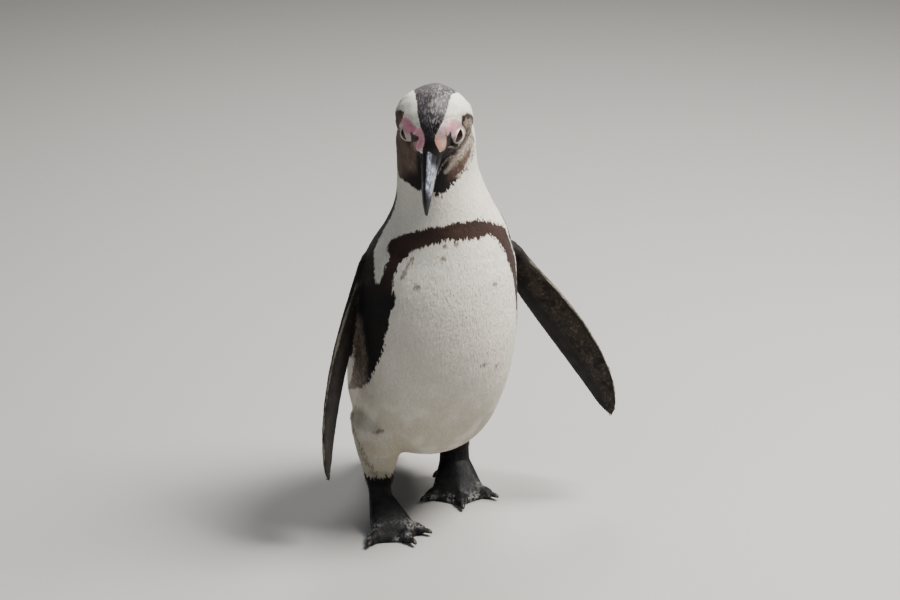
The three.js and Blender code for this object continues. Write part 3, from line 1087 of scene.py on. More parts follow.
@dataclass(frozen=True)
class Markings:
    """Where each colour lies on the bird, from its own measures."""

    head: HeadSet
    spine: Spine
    ink: Pigments = INK
    head_reach: float = 82.0
    patch_depth: float = -17.0
    patch_reach: float = 52.0
    bare_round_eye: tuple[float, float] = (75.0, 8.0)

    def patch_shares(self, q: Array, side: Side) -> list[tuple[Patch, Array]]:
        """Reads how far each of one side's patches covers points of the head.

        Args:
            q: Points in the head's own axes.
            side: Which side of the face.

        Returns:
            Each patch with its shares.
        """
        x, y, _ = self.head.around_eye(q, side)
        out = (q - self.head.eye(side)) @ self.head.gaze(side)
        near = (out > self.patch_depth) & (q[:, 1] * side.value > 1)
        near &= np.hypot(x, y) < self.patch_reach
        at = np.stack([x, y], axis=1)[near]
        found = []
        for patch in PATCHES[side]:
            share = np.zeros(len(q))
            share[near] = patch.share(at)
            found.append((patch, share))
        return found

    def bare(self, q: Array) -> Array:
        """Finds the points of the head that carry no feathers.

        Args:
            q: Points in the head's own axes.

        Returns:
            A mask.
        """
        found = np.zeros(len(q), bool)
        for side in Side:
            for patch, share in self.patch_shares(q, side):
                found |= patch.bare & (share > 0.5)
            x, y, off = self.head.around_eye(q, side)
            angle, reach = self.bare_round_eye
            found |= (off < angle) & (np.hypot(x, y / 0.8) < reach)
        a = np.abs(q[:, 1])
        base = table(q[:, 2], (-30, 44), (-20, 37), (-8, 34), (6, 33))
        return found | ((q[:, 0] > base) & (a < 15))

    def face(self, p: Array, grain: float) -> tuple[Array, Array]:
        """Colours of the head, and which points the head's own marks cover.

        Args:
            p: Points in millimetres.
            grain: 1 for feathers, which fleck and fray, and 0 for the skin.

        Returns:
            Colours, and a mask of the points that they hold for.
        """
        ink = self.ink
        q = self.head.inward(p)
        fray = 0.6 * noise(p * [1.0, 1.0, 0.45], 0.8, 3) + 0.4 * noise(p, 2.2, 12)
        fray = grain * (fray - 0.5) * 4.2
        s, x, z = q[:, 0] + fray * 0.6, q[:, 1], q[:, 2] + fray * 0.5
        a = np.abs(x) + fray * 0.4
        left = x > 0
        fleck = noise(q * [0.42, 1.1, 0.8], 0.85, 5)
        blotch = noise(p, 6.0, 6)
        angle = self.spine.angle(p)
        colour = shaded(ink.white, 0.95 + 0.08 * blotch)
        covered = np.zeros(len(p), bool)

        # the cheeks and the throat
        behind = table(
            z, (26, 4), (22, 0), (18, -1.6), (13, -2.5), (5, -5), (-15, -3), (-35, 6), (-52, 17)
        )
        rear = table(
            z, (-15, -3), (-23, 2.5), (-31.6, 10), (-36.4, 16.4), (-41.2, 22.8), (-45.4, 29.8),
            (-52, 36)
        )
        behind = np.where(left | (z > -15), behind, rear)
        low = table(
            angle, (-95, 372), (-88, 366), (-63, 365), (-43, 359), (-24, 357), (-7, 358), (11, 367),
            (39, 377), (70, 392)
        )
        low = low + left * 8.0 * grain * (noise(p, 1.4, 4) - 0.5)
        top_r = table(
            s, (-10, 13), (-2, 15), (-0.5, 21), (2.4, 24), (5, 24.3), (7.7, 21.6), (9.4, 18.6),
            (10, 14.5), (11.6, 6), (16, 2), (26, 9), (40, 10)
        )
        top_l = table(
            s, (-10, 12), (-2.6, 13), (-0.4, 18), (3.8, 16.2), (8.5, 14.5), (9.8, 9.6), (11.6, 2.4),
            (14, -5), (20, -8), (26, 2), (34, 9), (40, 10)
        )
        top = np.where(left, top_l, top_r)
        mask = (s > behind) & (p[:, 2] + fray > low) & (z < top) & (s > -8)
        cheek = np.where(left[:, None], np.array(ink.tan), np.array(ink.cheek))
        cheek = cheek * (0.76 + 0.44 * blotch)[:, None]
        streak = noise(q @ np.array([[0.5, 0, 0], [0, 2.4, 0], [0, 0, 1.4]]), 5.0, 8)
        pale = left * grain * ramp(p[:, 2] - low, 11, 3) * ramp(noise(p, 1.7, 10), 0.44, 0.6)
        chin = ramp(s, 36, 46) * ramp(z, -18, -24)
        chin = np.maximum(chin, ramp(s, 25, 31) * ramp(np.abs(x), 17, 12))
        cheek = layered(
            cheek,
            (ink.brown, left * grain * ramp(noise(p, 0.9, 14), 0.5, 0.66) * 0.75),
            (ink.white, left * grain * ramp(noise(p, 0.9, 13), 0.62, 0.82) * 0.55),
            (ink.tan, (~left) * grain * ramp(z, -4, -16) * ramp(streak, 0.56, 0.8) * 0.28),
            (ink.rust, ramp(s, 26, 36) * ramp(z, -22, -26) * np.where(left, 0.7, 0.3)),
            (ink.brown, ramp(s, 2, -2) * np.where(left, 0.85, 0.6)),
            (ink.white, pale * ramp(s, 46, 36) * 0.85),
            (ink.black, np.maximum(chin, ~left * ramp(angle, -50, -10) * ramp(z, -24, -31) * 0.6)),
        )
        colour[mask] = cheek[mask]
        covered |= mask

        # the crown, flecked with grey where its feathers are worn, and greyer on its lit left side as
        # painted light
        width_r = table(
            s, (-60, 30), (-40, 27), (-30, 22), (-21, 17.8), (-14, 15.5), (-8, 13.8), (-4, 12.2),
            (5, 11.4), (9, 10), (13, 8.6), (16, 7.9), (20, 7), (23.5, 5.6), (28, 4.6), (32, 5.1),
            (42, 7)
        )
        width_l = table(
            s, (-60, 30), (-40, 27), (-30, 23), (-22, 19.7), (-16, 17.2), (-9, 16.2), (-4, 16.2),
            (2, 14.8), (5, 14.4), (9, 13.4), (14, 11.1), (19, 8.6), (23.5, 5.8), (27, 5.6), (30, 6.6),
            (34, 9.6), (42, 9.6)
        )
        width = np.where(left, width_l, width_r)
        crown = (a < width) & ((z > 0) | (s < -15)) & (s < 40) & (z > -60)
        grey = (0.30 + 0.55 * ramp(x, -3, 6)) * ramp(s, 30, 14) * ramp(fleck, 0.50, 0.72)
        grey = grey * (1 - 0.55 * ramp(s, -14, -30)) * (1 - ramp(s, -8, -20) * ramp(p[:, 2], 428, 402))
        dark = shaded(ink.crown, 0.7 + 0.7 * blotch)
        # grey on the left of the crown, where the key lights it: painted light
        lit = ramp(x, 0, 7) * ramp(s, -18, -8) * ramp(s, 14, 4)
        grey = grain * np.maximum(grey, 0.38 * lit * (0.6 + 0.8 * fleck))
        dark = layered(dark, (ink.grey, grey), (ink.black, ramp(s, 22, 30)))
        colour[crown] = dark[crown]
        covered |= crown

        # bare skin and the marks beside the eyes
        for side in Side:
            for patch, share in self.patch_shares(q, side):
                tone = np.array(patch.colour) * (0.86 + 0.26 * noise(p, 2.5, 9))[:, None]
                colour = mixed(colour, tone, share)
                covered |= share > 0.02
        brow = (z > top - 1) & (s > -30) & (s < 36) & (z > 6)
        band = (s > -30) & (s < 12) & (a > width)
        return colour, covered | brow | (band & (p[:, 2] > 398))

    def flipper(self, p: Array, side: Side, grain: float) -> Array:
        """Colours of a flipper.

        Args:
            p: Points in millimetres.
            side: Which flipper.
            grain: 1 for feathers and 0 for the skin.

        Returns:
            The colours.
        """
        ink = self.ink
        along, across, out = FLIPPERS[side].places(p)
        fleck, speck = noise(p, 1.4, 21), noise(p, 2.6, 24)
        blotch = noise(p, 9.0, 22)
        under = ramp(out, 0.4, -0.4)
        tan = ramp(across, 0.02, 0.10) * ramp(across, 0.66, 0.42) * ramp(along, 0.06, 0.2)
        tan = tan * ramp(0.55 * blotch + 0.45 * speck, 0.28, 0.5)
        tan = tan * under * (1.0 if side is Side.LEFT else 0.35)
        # a pale line along the leading edge: a painted highlight
        rim = ramp(across, 0.035, 0.012) * ramp(along, 0.1, 0.2)
        tips = ramp(across, 0.962, 0.985) * ramp(along, 0.12, 0.22) * ramp(fleck, 0.35, 0.6)
        return layered(
            shaded(ink.black, 0.7 + 0.6 * blotch),
            (ink.olive, tan * (0.45 + 0.5 * ramp(fleck, 0.4, 0.7))),
            (ink.tan, tan * grain * ramp(fleck, 0.68, 0.84) * 0.26),
            # bluish-grey on the undersides: a painted sheen
            (ink.slate, under * ramp(across, 0.5, 0.8) * ramp(blotch, 0.4, 0.8) * 0.5),
            (ink.stained, rim * 0.45),
            (ink.white, tips * 0.85),
        )

    def body(self, p: Array, grain: float) -> Array:
        """Colours of trunk, neck, legs and tail.

        Args:
            p: Points in millimetres.
            grain: 1 for feathers and 0 for the skin.

        Returns:
            The colours.
        """
        ink = self.ink
        x, y, z = p.T
        fray = grain * (0.65 * noise(p * [1.0, 1.0, 0.3], 0.9, 31) + 0.35 * noise(p, 2.8, 37) - 0.5)
        angle = self.spine.angle(p) + 6.5 * fray
        high = z + 9.0 * fray
        fleck, blotch = noise(p, 1.6, 32), noise(p, 14.0, 33)
        strand = noise(np.stack([angle * 1.1, z * 0.12, np.zeros_like(z)], axis=1), 2.4, 34)
        # the lower body darker and yellower towards the bottom: partly real stain, partly painted shade
        stain_and_painted_shade = 0.25 * ramp(z, 270, 170) + 0.5 * ramp(z, 175, 95)
        # near-white patches on the chest's left side, which the key lights: painted sunlight
        wet = grain * ramp(noise(p, 1.3, 36), 0.74, 0.86) * ramp(z, 196, 214) * ramp(z, 306, 292)
        wet = wet * ramp(angle, 4, 22)
        colour = layered(
            shaded(ink.white, 0.94 + 0.06 * blotch + 0.05 * (strand - 0.5)),
            (ink.stained, stain_and_painted_shade * ramp(blotch + 0.3 * strand, 0.2, 0.8)),
            (ink.stained, 0.10 * ramp(strand, 0.6, 0.85)),
            (ink.wet, 0.8 * wet),
        )

        # the dark band over the breast and down both flanks, wide and worn low on the right
        over = table(
            angle, (-80, 304), (-61, 314), (-32, 325), (-11, 329), (5, 331), (30, 330), (41, 324),
            (56, 318), (66, 312)
        )
        under = table(
            angle, (-80, 296), (-56, 288), (-50, 301), (-35, 307), (-26, 311), (-12, 315), (4, 315),
            (33, 314), (41, 307), (45, 294), (52, 280), (66, 276)
        )
        band = (high < over) & (high > under) & (angle > -78) & (angle < 66)
        inner_r = table(
            z, (124, -92), (129, -86), (141, -74), (149, -65), (161, -58), (186, -54), (204, -50),
            (243, -49), (258, -48), (268, -53), (288, -56), (300, -48)
        )
        outer_r = table(
            z, (124, -92), (150, -83), (177, -81), (198, -83), (214, -86), (224, -98), (260, -98),
            (267, -66), (290, -69), (303, -77)
        )
        inner_l = table(z, (96, 96), (120, 84), (160, 68), (200, 62), (240, 58), (270, 52), (288, 47))
        outer_l = table(z, (96, 104), (120, 96), (160, 84), (200, 78), (240, 72), (270, 65), (305, 62))
        band |= (angle < inner_r) & (angle > outer_r) & (high < 305)
        band |= (angle > inner_l) & (angle < outer_l) & (high < 305)
        worn = table(
            z, (124, -82), (149, -58), (169, -61), (186, -64), (201, -68), (215, -73), (230, -77)
        )
        worn = ramp(angle, worn + 3, worn - 5) * ramp(z, 232, 218) * (angle < 0)
        dark = layered(
            shaded(ink.band, 0.62 + 0.7 * blotch),
            (ink.flank, ramp(z, 274, 252) * ramp(angle, -30, -44)),
            (ink.worn, worn * 0.85),
            (ink.tan, worn * grain * ramp(fleck, 0.52, 0.7) * 0.8),
        )
        low_left = ramp(z, 190, 120) * (angle > 0)
        band &= ~((fleck > 1.02 - 0.42 * low_left) & (grain > 0))
        band &= z > 98
        colour[band] = dark[band]

        # the black back, rump and tail
        edge_r = table(
            z, (40, 70), (66, 86), (90, 100), (110, 108), (150, 103), (200, 98), (240, 92), (258, 84),
            (265, 69), (272, 76), (282, 82), (288, 91), (296, 98), (307, 103), (330, 99), (345, 101),
            (356, 109), (366, 118), (380, 131), (390, 142), (399, 158), (410, 178)
        )
        edge_l = table(
            z, (40, 70), (66, 86), (90, 100), (110, 108), (150, 103), (200, 93), (244, 82), (270, 71),
            (300, 68), (320, 84), (340, 95), (360, 96), (375, 101), (388, 111), (399, 124), (410, 130)
        )
        back = (-angle > edge_r) | (angle > edge_l)
        behind = y > table(z, (0, 96), (66, 92), (90, 74), (110, 62))
        back |= (z < 96) & behind & (np.abs(x) < 34)
        cloak = layered(
            shaded(ink.black, 0.6 + 0.8 * blotch),
            (ink.brown, 0.5 * ramp(noise(p, 22.0, 35), 0.4, 0.8)),
            (ink.worn, 0.25 * grain * ramp(fleck, 0.66, 0.95)),
        )
        colour[back] = cloak[back]

        # a few dark spots on the white, a feather or two each
        for at, height in SPOTS:
            away = np.hypot((angle - at) * 1.2, z - height)
            colour = mixed(colour, ink.worn, ramp(away, 3.3, 1.3) * ~back * 0.8)

        # a fine dark line where the flank meets the right thigh
        runs = table(z, (52, -29), (58, -31), (65, -34), (78, -40), (92, -49), (108, -61), (122, -70))
        line = ramp(np.abs(angle - runs) * table(z, (52, 0.5), (108, 1.3)), 1.1, 0.4)
        line = line * ramp(z, 50, 56) * ramp(z, 124, 112) * (x < -30)
        thigh = 0.5 * ramp(z, 110, 60) * (x < -30) * ~back
        colour = layered(colour, (ink.band, line * 0.85), (ink.stained, thigh))

        # the shanks darken towards the feet
        leg = np.where(x < 0, 40.0, np.hypot(x - 39, y - 46)) < np.where(x < 0, 41.0, 24.0)
        shank = (z < table(x, (-20, 50), (0, 72)) + 6 * fray) & (z < 80) & ~back & leg
        sooty = shaded(ink.black, 0.8 + 0.8 * fleck)
        colour[shank] = sooty[shank]
        return colour

    def foot(self, p: Array) -> Array:
        """Colours of the feet: sooty, with grey dust on the toes' ends.

        Args:
            p: Points in millimetres.

        Returns:
            The colours.
        """
        ink = self.ink
        colour = shaded(ink.foot, 0.6 + 0.9 * noise(p, 4.0, 50))
        dust = ramp(noise(p, 1.5, 51), 0.40, 0.68) * ramp(noise(p, 12.0, 52), 0.34, 0.6)
        dust = dust * ramp(p[:, 2], 19, 9)
        return mixed(colour, ink.dust, 0.85 * dust)

    def plumage(self, p: Array, grain: float = 1.0) -> Array:
        """Colours of every feather but the flippers'.

        Args:
            p: Points in millimetres.
            grain: 1 for feathers and 0 for the skin.

        Returns:
            The colours.
        """
        colour = self.body(p, grain)
        face, covered = self.face(p, grain)
        near = np.linalg.norm(p - np.array(self.head.centre), axis=1) < self.head_reach
        return np.where((covered & near)[:, None], face, colour)


# ---- finishes ----


def feed(tree: NodeTree, node: Node, inputs: dict) -> None:
    """Sets a node's inputs to values, or links them to sockets.

    Args:
        tree: The node's tree.
        node: The node.
        inputs: Values or output sockets, by the input's name or number.
    """
    for key, value in inputs.items():
        if isinstance(value, NodeSocket):
            tree.links.new(value, node.inputs[key])
        else:
            node.inputs[key].default_value = value


def add_node(tree: NodeTree, kind: str, inputs: dict | None = None, **settings: object) -> Node:
    """Adds a node to a tree.

    Args:
        tree: The tree.
        kind: The node's type.
        inputs: Values or output sockets, by the input's name or number.
        settings: The node's own properties.

    Returns:
        The node.
    """
    made = tree.nodes.new(kind)
    for key, value in settings.items():
        setattr(made, key, value)
    feed(tree, made, inputs or {})
    return made


def maths(tree: NodeTree, kind: str, *values: float | NodeSocket) -> NodeSocket:
    """Adds one sum on numbers, and gives its result."""
    return add_node(tree, "ShaderNodeMath", dict(enumerate(values)), operation=kind).outputs[0]


def scaled(tree: NodeTree, vector: NodeSocket, factor: NodeSocket) -> NodeSocket:
    """Multiplies a vector or colour by a number."""
    inputs = {0: vector, "Scale": factor}
    return add_node(tree, "ShaderNodeVectorMath", inputs, operation="SCALE").outputs[0]


@dataclass
class Shader:
    """A material with one Principled shader, and the steps that the finishes share."""

    name: str
    made: Material = field(init=False)
    tree: NodeTree = field(init=False)
    surface: Node = field(init=False)

    def __post_init__(self) -> None:
        """Starts the material."""
        self.made = bpy.data.materials.new(self.name)
        self.made.use_nodes = True
        self.tree = self.made.node_tree
        self.tree.nodes.clear()
        self.surface = add_node(self.tree, "ShaderNodeBsdfPrincipled")
        add_node(self.tree, "ShaderNodeOutputMaterial", {"Surface": self.surface.outputs[0]})

    def stored(self, name: str, output: str = "Color") -> NodeSocket:
        """Reads a value stored on the mesh."""
        return add_node(self.tree, "ShaderNodeAttribute", attribute_name=name).outputs[output]

    def unwrapped(self, name: str) -> NodeSocket:
        """Reads a UV map."""
        return add_node(self.tree, "ShaderNodeUVMap", uv_map=name).outputs[0]

    def place(self) -> NodeSocket:
        """Reads places in the object's own axes."""
        return add_node(self.tree, "ShaderNodeTexCoord").outputs["Object"]

    def maths(self, kind: str, *values: float | NodeSocket) -> NodeSocket:
        """Adds one sum on numbers, and gives its result."""
        return maths(self.tree, kind, *values)

    def spots(self, at: NodeSocket, scale: float, detail: float, roughness: float = 0.5) -> NodeSocket:
        """Adds soft noise: where it is read, how fine, how many finer layers, how strong they are."""
        inputs = {"Vector": at, "Scale": scale, "Detail": detail, "Roughness": roughness}
        return add_node(self.tree, "ShaderNodeTexNoise", inputs).outputs[0]

    def graded(self, value: NodeSocket, low: float, high: float, first: float, last: float) -> NodeSocket:
        """Maps a value's range low..high to first..last, held at the ends."""
        inputs = {"Value": value, "From Min": low, "From Max": high, "To Min": first, "To Max": last}
        return add_node(self.tree, "ShaderNodeMapRange", inputs).outputs[0]

    def tinted(self, shade: NodeSocket) -> NodeSocket:
        """The stored tint, lighter or darker by a shade."""
        return scaled(self.tree, self.stored("tint"), shade)

    def bump(self, height: NodeSocket, strength: float, distance: float) -> NodeSocket:
        """Adds fine relief from a height, as deep as the distance in metres."""
        inputs = {"Height": height, "Strength": strength, "Distance": distance}
        return add_node(self.tree, "ShaderNodeBump", inputs).outputs[0]

    def done(self, inputs: dict[str, object]) -> Material:
        """Sets the shader's inputs, and gives the material."""
        feed(self.tree, self.surface, inputs)
        return self.made


@dataclass(frozen=True)
class FeatherFinish:
    """Soft matt vanes with fine barbs, in each feather's own tint."""

    name: str = "feathers"
    roughness: float = 0.62
    sheen: float = 0.10
    barb_radians: float = 188.49
    barb_slant: float = -0.9
    depth: float = 0.09

    def build(self) -> Material:
        """Makes the material, its barbs slanting out from each feather's shaft.

        Returns:
            The material.
        """
        shader = Shader(self.name)
        split = add_node(shader.tree, "ShaderNodeSeparateXYZ", {0: shader.unwrapped("vane")}).outputs
        side = shader.maths("ABSOLUTE", shader.maths("SUBTRACT", split[0], 0.5))
        slant = shader.maths("MULTIPLY_ADD", side, self.barb_slant, split[1])
        barb = shader.maths("SINE", shader.maths("MULTIPLY", slant, self.barb_radians))
        shaft = shader.graded(side, 0.0, 0.06, 0.93, 1.0)
        stripe = shader.graded(barb, -1, 1, 1 - self.depth, 1 + self.depth * 0.4)
        # each vane darker towards its root, under the vanes that overlap it: painted shade
        root = shader.graded(split[1], 0.0, 0.75, 0.88, 1.02)
        shade = shader.maths("MULTIPLY", shader.maths("MULTIPLY", shaft, stripe), root)
        return shader.done({
            "Base Color": shader.tinted(shade),
            "Normal": shader.bump(barb, 0.18, 0.0001),
            "Roughness": self.roughness,
            "Specular IOR Level": 0.32,
            "Sheen Weight": self.sheen,
            "Sheen Roughness": 0.5,
        })


@dataclass(frozen=True)
class SkinFinish:
    """Bare skin, down and leathery feet, by the skin's own tint and gloss."""

    name: str = "skin"
    blotches: float = 420.0
    wrinkle: float = 1250.0

    def build(self) -> Material:
        """Makes the material, its cells parted by fine creases.

        Returns:
            The material.
        """
        shader = Shader(self.name)
        spots = shader.spots(shader.place(), self.blotches, 4.0, 0.65)
        cells = {"Vector": shader.place(), "Scale": self.wrinkle}
        cells = add_node(shader.tree, "ShaderNodeTexVoronoi", cells, feature="DISTANCE_TO_EDGE")
        crease = cells.outputs["Distance"]
        shade = shader.graded(spots, 0.3, 0.7, 0.82, 1.14)
        # the creases between the cells painted darker: painted shade
        shade = shader.maths("MULTIPLY", shade, shader.graded(crease, 0.0, 0.09, 0.9, 1.0))
        height = shader.maths("MULTIPLY_ADD", crease, 3.0, spots)
        return shader.done({
            "Base Color": shader.tinted(shade),
            "Normal": shader.bump(height, 0.3, 0.0002),
            "Roughness": shader.graded(shader.stored("gloss", "Fac"), 0, 1, 0.8, 0.36),
            "Specular IOR Level": 0.42,
        })


@dataclass(frozen=True)
class HornFinish:
    """Dark horn with fine growth lines along it and scuffed, dusty wear."""

    name: str = "horn"
    roughness: float = 0.36
    lines: Colour = (5.0, 60.0, 1.0)

    def build(self) -> Material:
        """Makes the material, its lines drawn out along the growth.

        Returns:
            The material.
        """
        shader = Shader(self.name)
        grow = shader.unwrapped("growth")
        drawn = add_node(shader.tree, "ShaderNodeMapping", {"Vector": grow, "Scale": self.lines})
        streak = shader.spots(drawn.outputs[0], 1.0, 5.0, 0.6)
        fine = shader.spots(grow, 90.0, 3.0)
        height = shader.maths("MULTIPLY_ADD", fine, 0.5, streak)
        smooth, scuffed = self.roughness - 0.08, self.roughness + 0.2
        return shader.done({
            "Base Color": shader.tinted(shader.graded(streak, 0.3, 0.72, 0.72, 1.35)),
            "Normal": shader.bump(height, 0.35, 0.0003),
            "Roughness": shader.graded(fine, 0.35, 0.7, smooth, scuffed),
            "Specular IOR Level": 0.5,
        })


@dataclass(frozen=True)
class ClawFinish:
    """Blunt dark claws, dusty towards the tip."""

    name: str = "claw_horn"
    dark: Colour = (0.018, 0.016, 0.016)
    dusty: Colour = (0.12, 0.10, 0.08)

    def build(self) -> Material:
        """Makes the material, dark horn with dust in spots.

        Returns:
            The material.
        """
        shader = Shader(self.name)
        spots = shader.spots(shader.place(), 260.0, 5.0)
        mix = add_node(shader.tree, "ShaderNodeValToRGB", {0: spots})
        for stop, at, colour in zip(mix.color_ramp.elements, (0.45, 0.85), (self.dark, self.dusty)):
            stop.position, stop.color = at, (*colour, 1)
        return shader.done({
            "Base Color": mix.outputs[0],
            "Normal": shader.bump(spots, 0.4, 0.0004),
            "Roughness": shader.graded(spots, 0.3, 0.7, 0.34, 0.6),
        })


@dataclass(frozen=True)
class EyeFinish:
    """A wet, nearly black eye, its iris a little lighter than the pupil."""

    name: str = "eyeball"

    def build(self) -> Material:
        """Makes the material, its tint finely flecked under a clear coat.

        Returns:
            The material.
        """
        shader = Shader(self.name)
        fleck = shader.spots(shader.place(), 1500.0, 2.0)
        return shader.done({
            "Base Color": shader.tinted(shader.graded(fleck, 0.3, 0.7, 0.8, 1.2)),
            "Roughness": 0.12,
            "Coat Weight": 0.25,
            "Coat Roughness": 0.04,
        })


@dataclass(frozen=True)
class FloorFinish:
    """A plain pale studio floor."""

    name: str = "studio_floor"
    colour: Colour = (0.40, 0.39, 0.38)

    def build(self) -> Material:
        """Makes the material."""
        return Shader(self.name).done({"Base Color": (*self.colour, 1), "Roughness": 0.9})


# ---- the coat ----


@dataclass(frozen=True)
class Vane:
    """One feather as a thin closed shape a unit long and a unit wide, its root at the origin."""

    name: str = "vane"
    ridge: float = 0.07
    droop: float = 0.09
    shoulder: float = 0.46
    tip: float = 0.36

    @property
    def outline(self) -> Array:
        """Across, along and above, for each of the seven vertices."""
        w, t = self.shoulder, self.tip
        return np.array(
            [(0, 0, 0), (-w, 0.40, 0), (w, 0.40, 0), (0, 0.46, self.ridge),
             (-t, 0.82, -self.droop * 0.5), (t, 0.82, -self.droop * 0.5), (0, 1, -self.droop)]
        )

    @property
    def faces(self) -> tuple[tuple[int, int, int], ...]:
        """The upper face as a fan round the ridge, and the flat underside."""
        return (
            (0, 2, 3), (2, 5, 3), (5, 6, 3), (6, 4, 3), (4, 1, 3), (1, 0, 3),
            (0, 1, 2), (1, 4, 2), (4, 5, 2), (4, 6, 5),
        )

    def build(self) -> Object:
        """Makes the vane, out of the scene, for the coat's tree to repeat.

        Returns:
            The vane's object.
        """
        mesh = bpy.data.meshes.new(self.name)
        mesh.from_pydata(self.outline.tolist(), [], list(self.faces))
        mesh.shade_smooth()
        for edge in mesh.edges:
            edge.use_edge_sharp = 3 not in edge.vertices
        return bpy.data.objects.new(self.name, mesh)


@dataclass
class CoatTree:
    """The node tree that plants vanes on a skin along its lie."""

    name: str = "coat_of_vanes"
    crowding: float = 3.2
    sway: Colour = (0.35, 0.5, 1.0)
    least: Colour = (0.88, 0.82, 0.9)
    most: Colour = (1.12, 1.16, 1.1)
    second_draw: int = 7
    tree: NodeTree = field(init=False)
    sockets: dict[str, str] = field(init=False, default_factory=dict)

    def socket(self, name: str, kind: str, direction: str = "INPUT") -> None:
        """Adds one named input or output, and keeps an input's identifier."""
        made = self.tree.interface.new_socket(
            name, in_out=direction, socket_type=f"NodeSocket{kind}"
        )
        if direction == "INPUT":
            self.sockets[name] = made.identifier

    def build(self) -> "CoatTree":
        """Makes the tree.

        Returns:
            This object, with its tree and the identifiers of its inputs.
        """
        self.tree = tree = bpy.data.node_groups.new(self.name, "GeometryNodeTree")
        self.socket("Skin", "Geometry")
        for name, kind in (
            ("Vane", "Object"), ("Spacing", "Float"), ("Length", "Float"), ("Width", "Float"),
            ("Lift", "Float"), ("Stray", "Float"), ("Seed", "Int"), ("Finish", "Material"),
        ):
            self.socket(name, kind)
        self.socket("Coat", "Geometry", "OUTPUT")
        given = add_node(tree, "NodeGroupInput").outputs

        def read(name: str, kind: str = "FLOAT") -> NodeSocket:
            """Reads a stored attribute."""
            inputs = {"Name": name}
            return add_node(tree, "GeometryNodeInputNamedAttribute", inputs, data_type=kind).outputs[0]

        def random(low: Colour, high: Colour, seed: NodeSocket) -> NodeSocket:
            """A random vector for each feather."""
            inputs = {0: low, 1: high, "Seed": seed}
            kind = "FLOAT_VECTOR"
            return add_node(tree, "FunctionNodeRandomValue", inputs, data_type=kind).outputs[0]

        def triple(x: NodeSocket, y: NodeSocket | float = 0.0, z: NodeSocket | float = 0.0) -> NodeSocket:
            """A vector from its three numbers."""
            return add_node(tree, "ShaderNodeCombineXYZ", {0: x, 1: y, 2: z}).outputs[0]

        def together(kind: str, a: NodeSocket, b: NodeSocket) -> NodeSocket:
            """One sum on two vectors."""
            return add_node(tree, "ShaderNodeVectorMath", {0: a, 1: b}, operation=kind).outputs[0]

        square = maths(tree, "MULTIPLY", given["Spacing"], given["Spacing"])
        points = add_node(
            tree, "GeometryNodeDistributePointsOnFaces",
            {"Mesh": given["Skin"], "Distance Min": given["Spacing"],
             "Density Max": maths(tree, "DIVIDE", self.crowding, square),
             "Density Factor": read("grow"), "Seed": given["Seed"]},
            distribute_method="POISSON",
        )
        turn = add_node(
            tree, "FunctionNodeAxesToRotation",
            {"Primary Axis": read("up", "FLOAT_VECTOR"), "Secondary Axis": read("lie", "FLOAT_VECTOR")},
            primary_axis="Z", secondary_axis="Y",
        )
        stray = random(tuple(-v for v in self.sway), self.sway, given["Seed"])
        raised = triple(maths(tree, "MULTIPLY", given["Lift"], read("rise")))
        angles = together("ADD", scaled(tree, stray, given["Stray"]), raised)
        local = add_node(tree, "FunctionNodeEulerToRotation", {0: angles})
        rotation = add_node(
            tree, "FunctionNodeRotateRotation",
            {"Rotation": turn.outputs[0], "Rotate By": local.outputs[0]}, rotation_space="LOCAL",
        )
        grown = random(self.least, self.most, maths(tree, "ADD", given["Seed"], self.second_draw))
        shape = triple(given["Width"], given["Length"], given["Width"])
        sized = together("MULTIPLY", shape, grown)
        vane = {"Object": given["Vane"]}
        vane = add_node(tree, "GeometryNodeObjectInfo", vane, transform_space="ORIGINAL")
        planted = add_node(
            tree, "GeometryNodeInstanceOnPoints",
            {"Points": points.outputs["Points"], "Instance": vane.outputs["Geometry"],
             "Rotation": rotation.outputs[0], "Scale": scaled(tree, sized, read("size"))},
        )
        real = add_node(tree, "GeometryNodeRealizeInstances", {0: planted.outputs[0]})
        finish = {"Geometry": real.outputs[0], "Material": given["Finish"]}
        done = add_node(tree, "GeometryNodeSetMaterial", finish)
        add_node(tree, "NodeGroupOutput", {0: done.outputs[0]})
        return self


@dataclass(frozen=True)
class Coat:
    """One patch of plumage: how close, long, wide and raised its feathers are."""

    name: str
    slot: Slot
    spacing: float
    length: float
    width: float
    lift: float
    stray: float
    seed: int

    def plant(
        self, skin: Skin, tree: CoatTree, vane: Object, finish: Material, shares: tuple[Array, ...]
    ) -> Object:
        """Grows the patch.

        Args:
            skin: What it grows on.
            tree: The tree that plants it.
            vane: The feather's object.
            finish: The feathers' material.
            shares: For each vertex of the skin, 1 where feathers grow, how far they lift and
                how large they are.

        Returns:
            The patch as a plain mesh.
        """
        for name, share in zip(("grow", "rise", "size"), shares):
            put(skin.made.data, name, share.astype(float), "FLOAT")
        base = linked(self.name, skin.made.data)
        modifier = base.modifiers.new("coat", "NODES")
        modifier.node_group = tree.tree
        for name, value in (
            ("Vane", vane), ("Spacing", self.spacing / PER_METRE), ("Length", self.length / PER_METRE),
            ("Width", self.width / PER_METRE), ("Lift", math.radians(self.lift)),
            ("Stray", math.radians(self.stray)), ("Seed", SEED + self.seed), ("Finish", finish),
        ):
            modifier[tree.sockets[name]] = value
        return frozen(base)


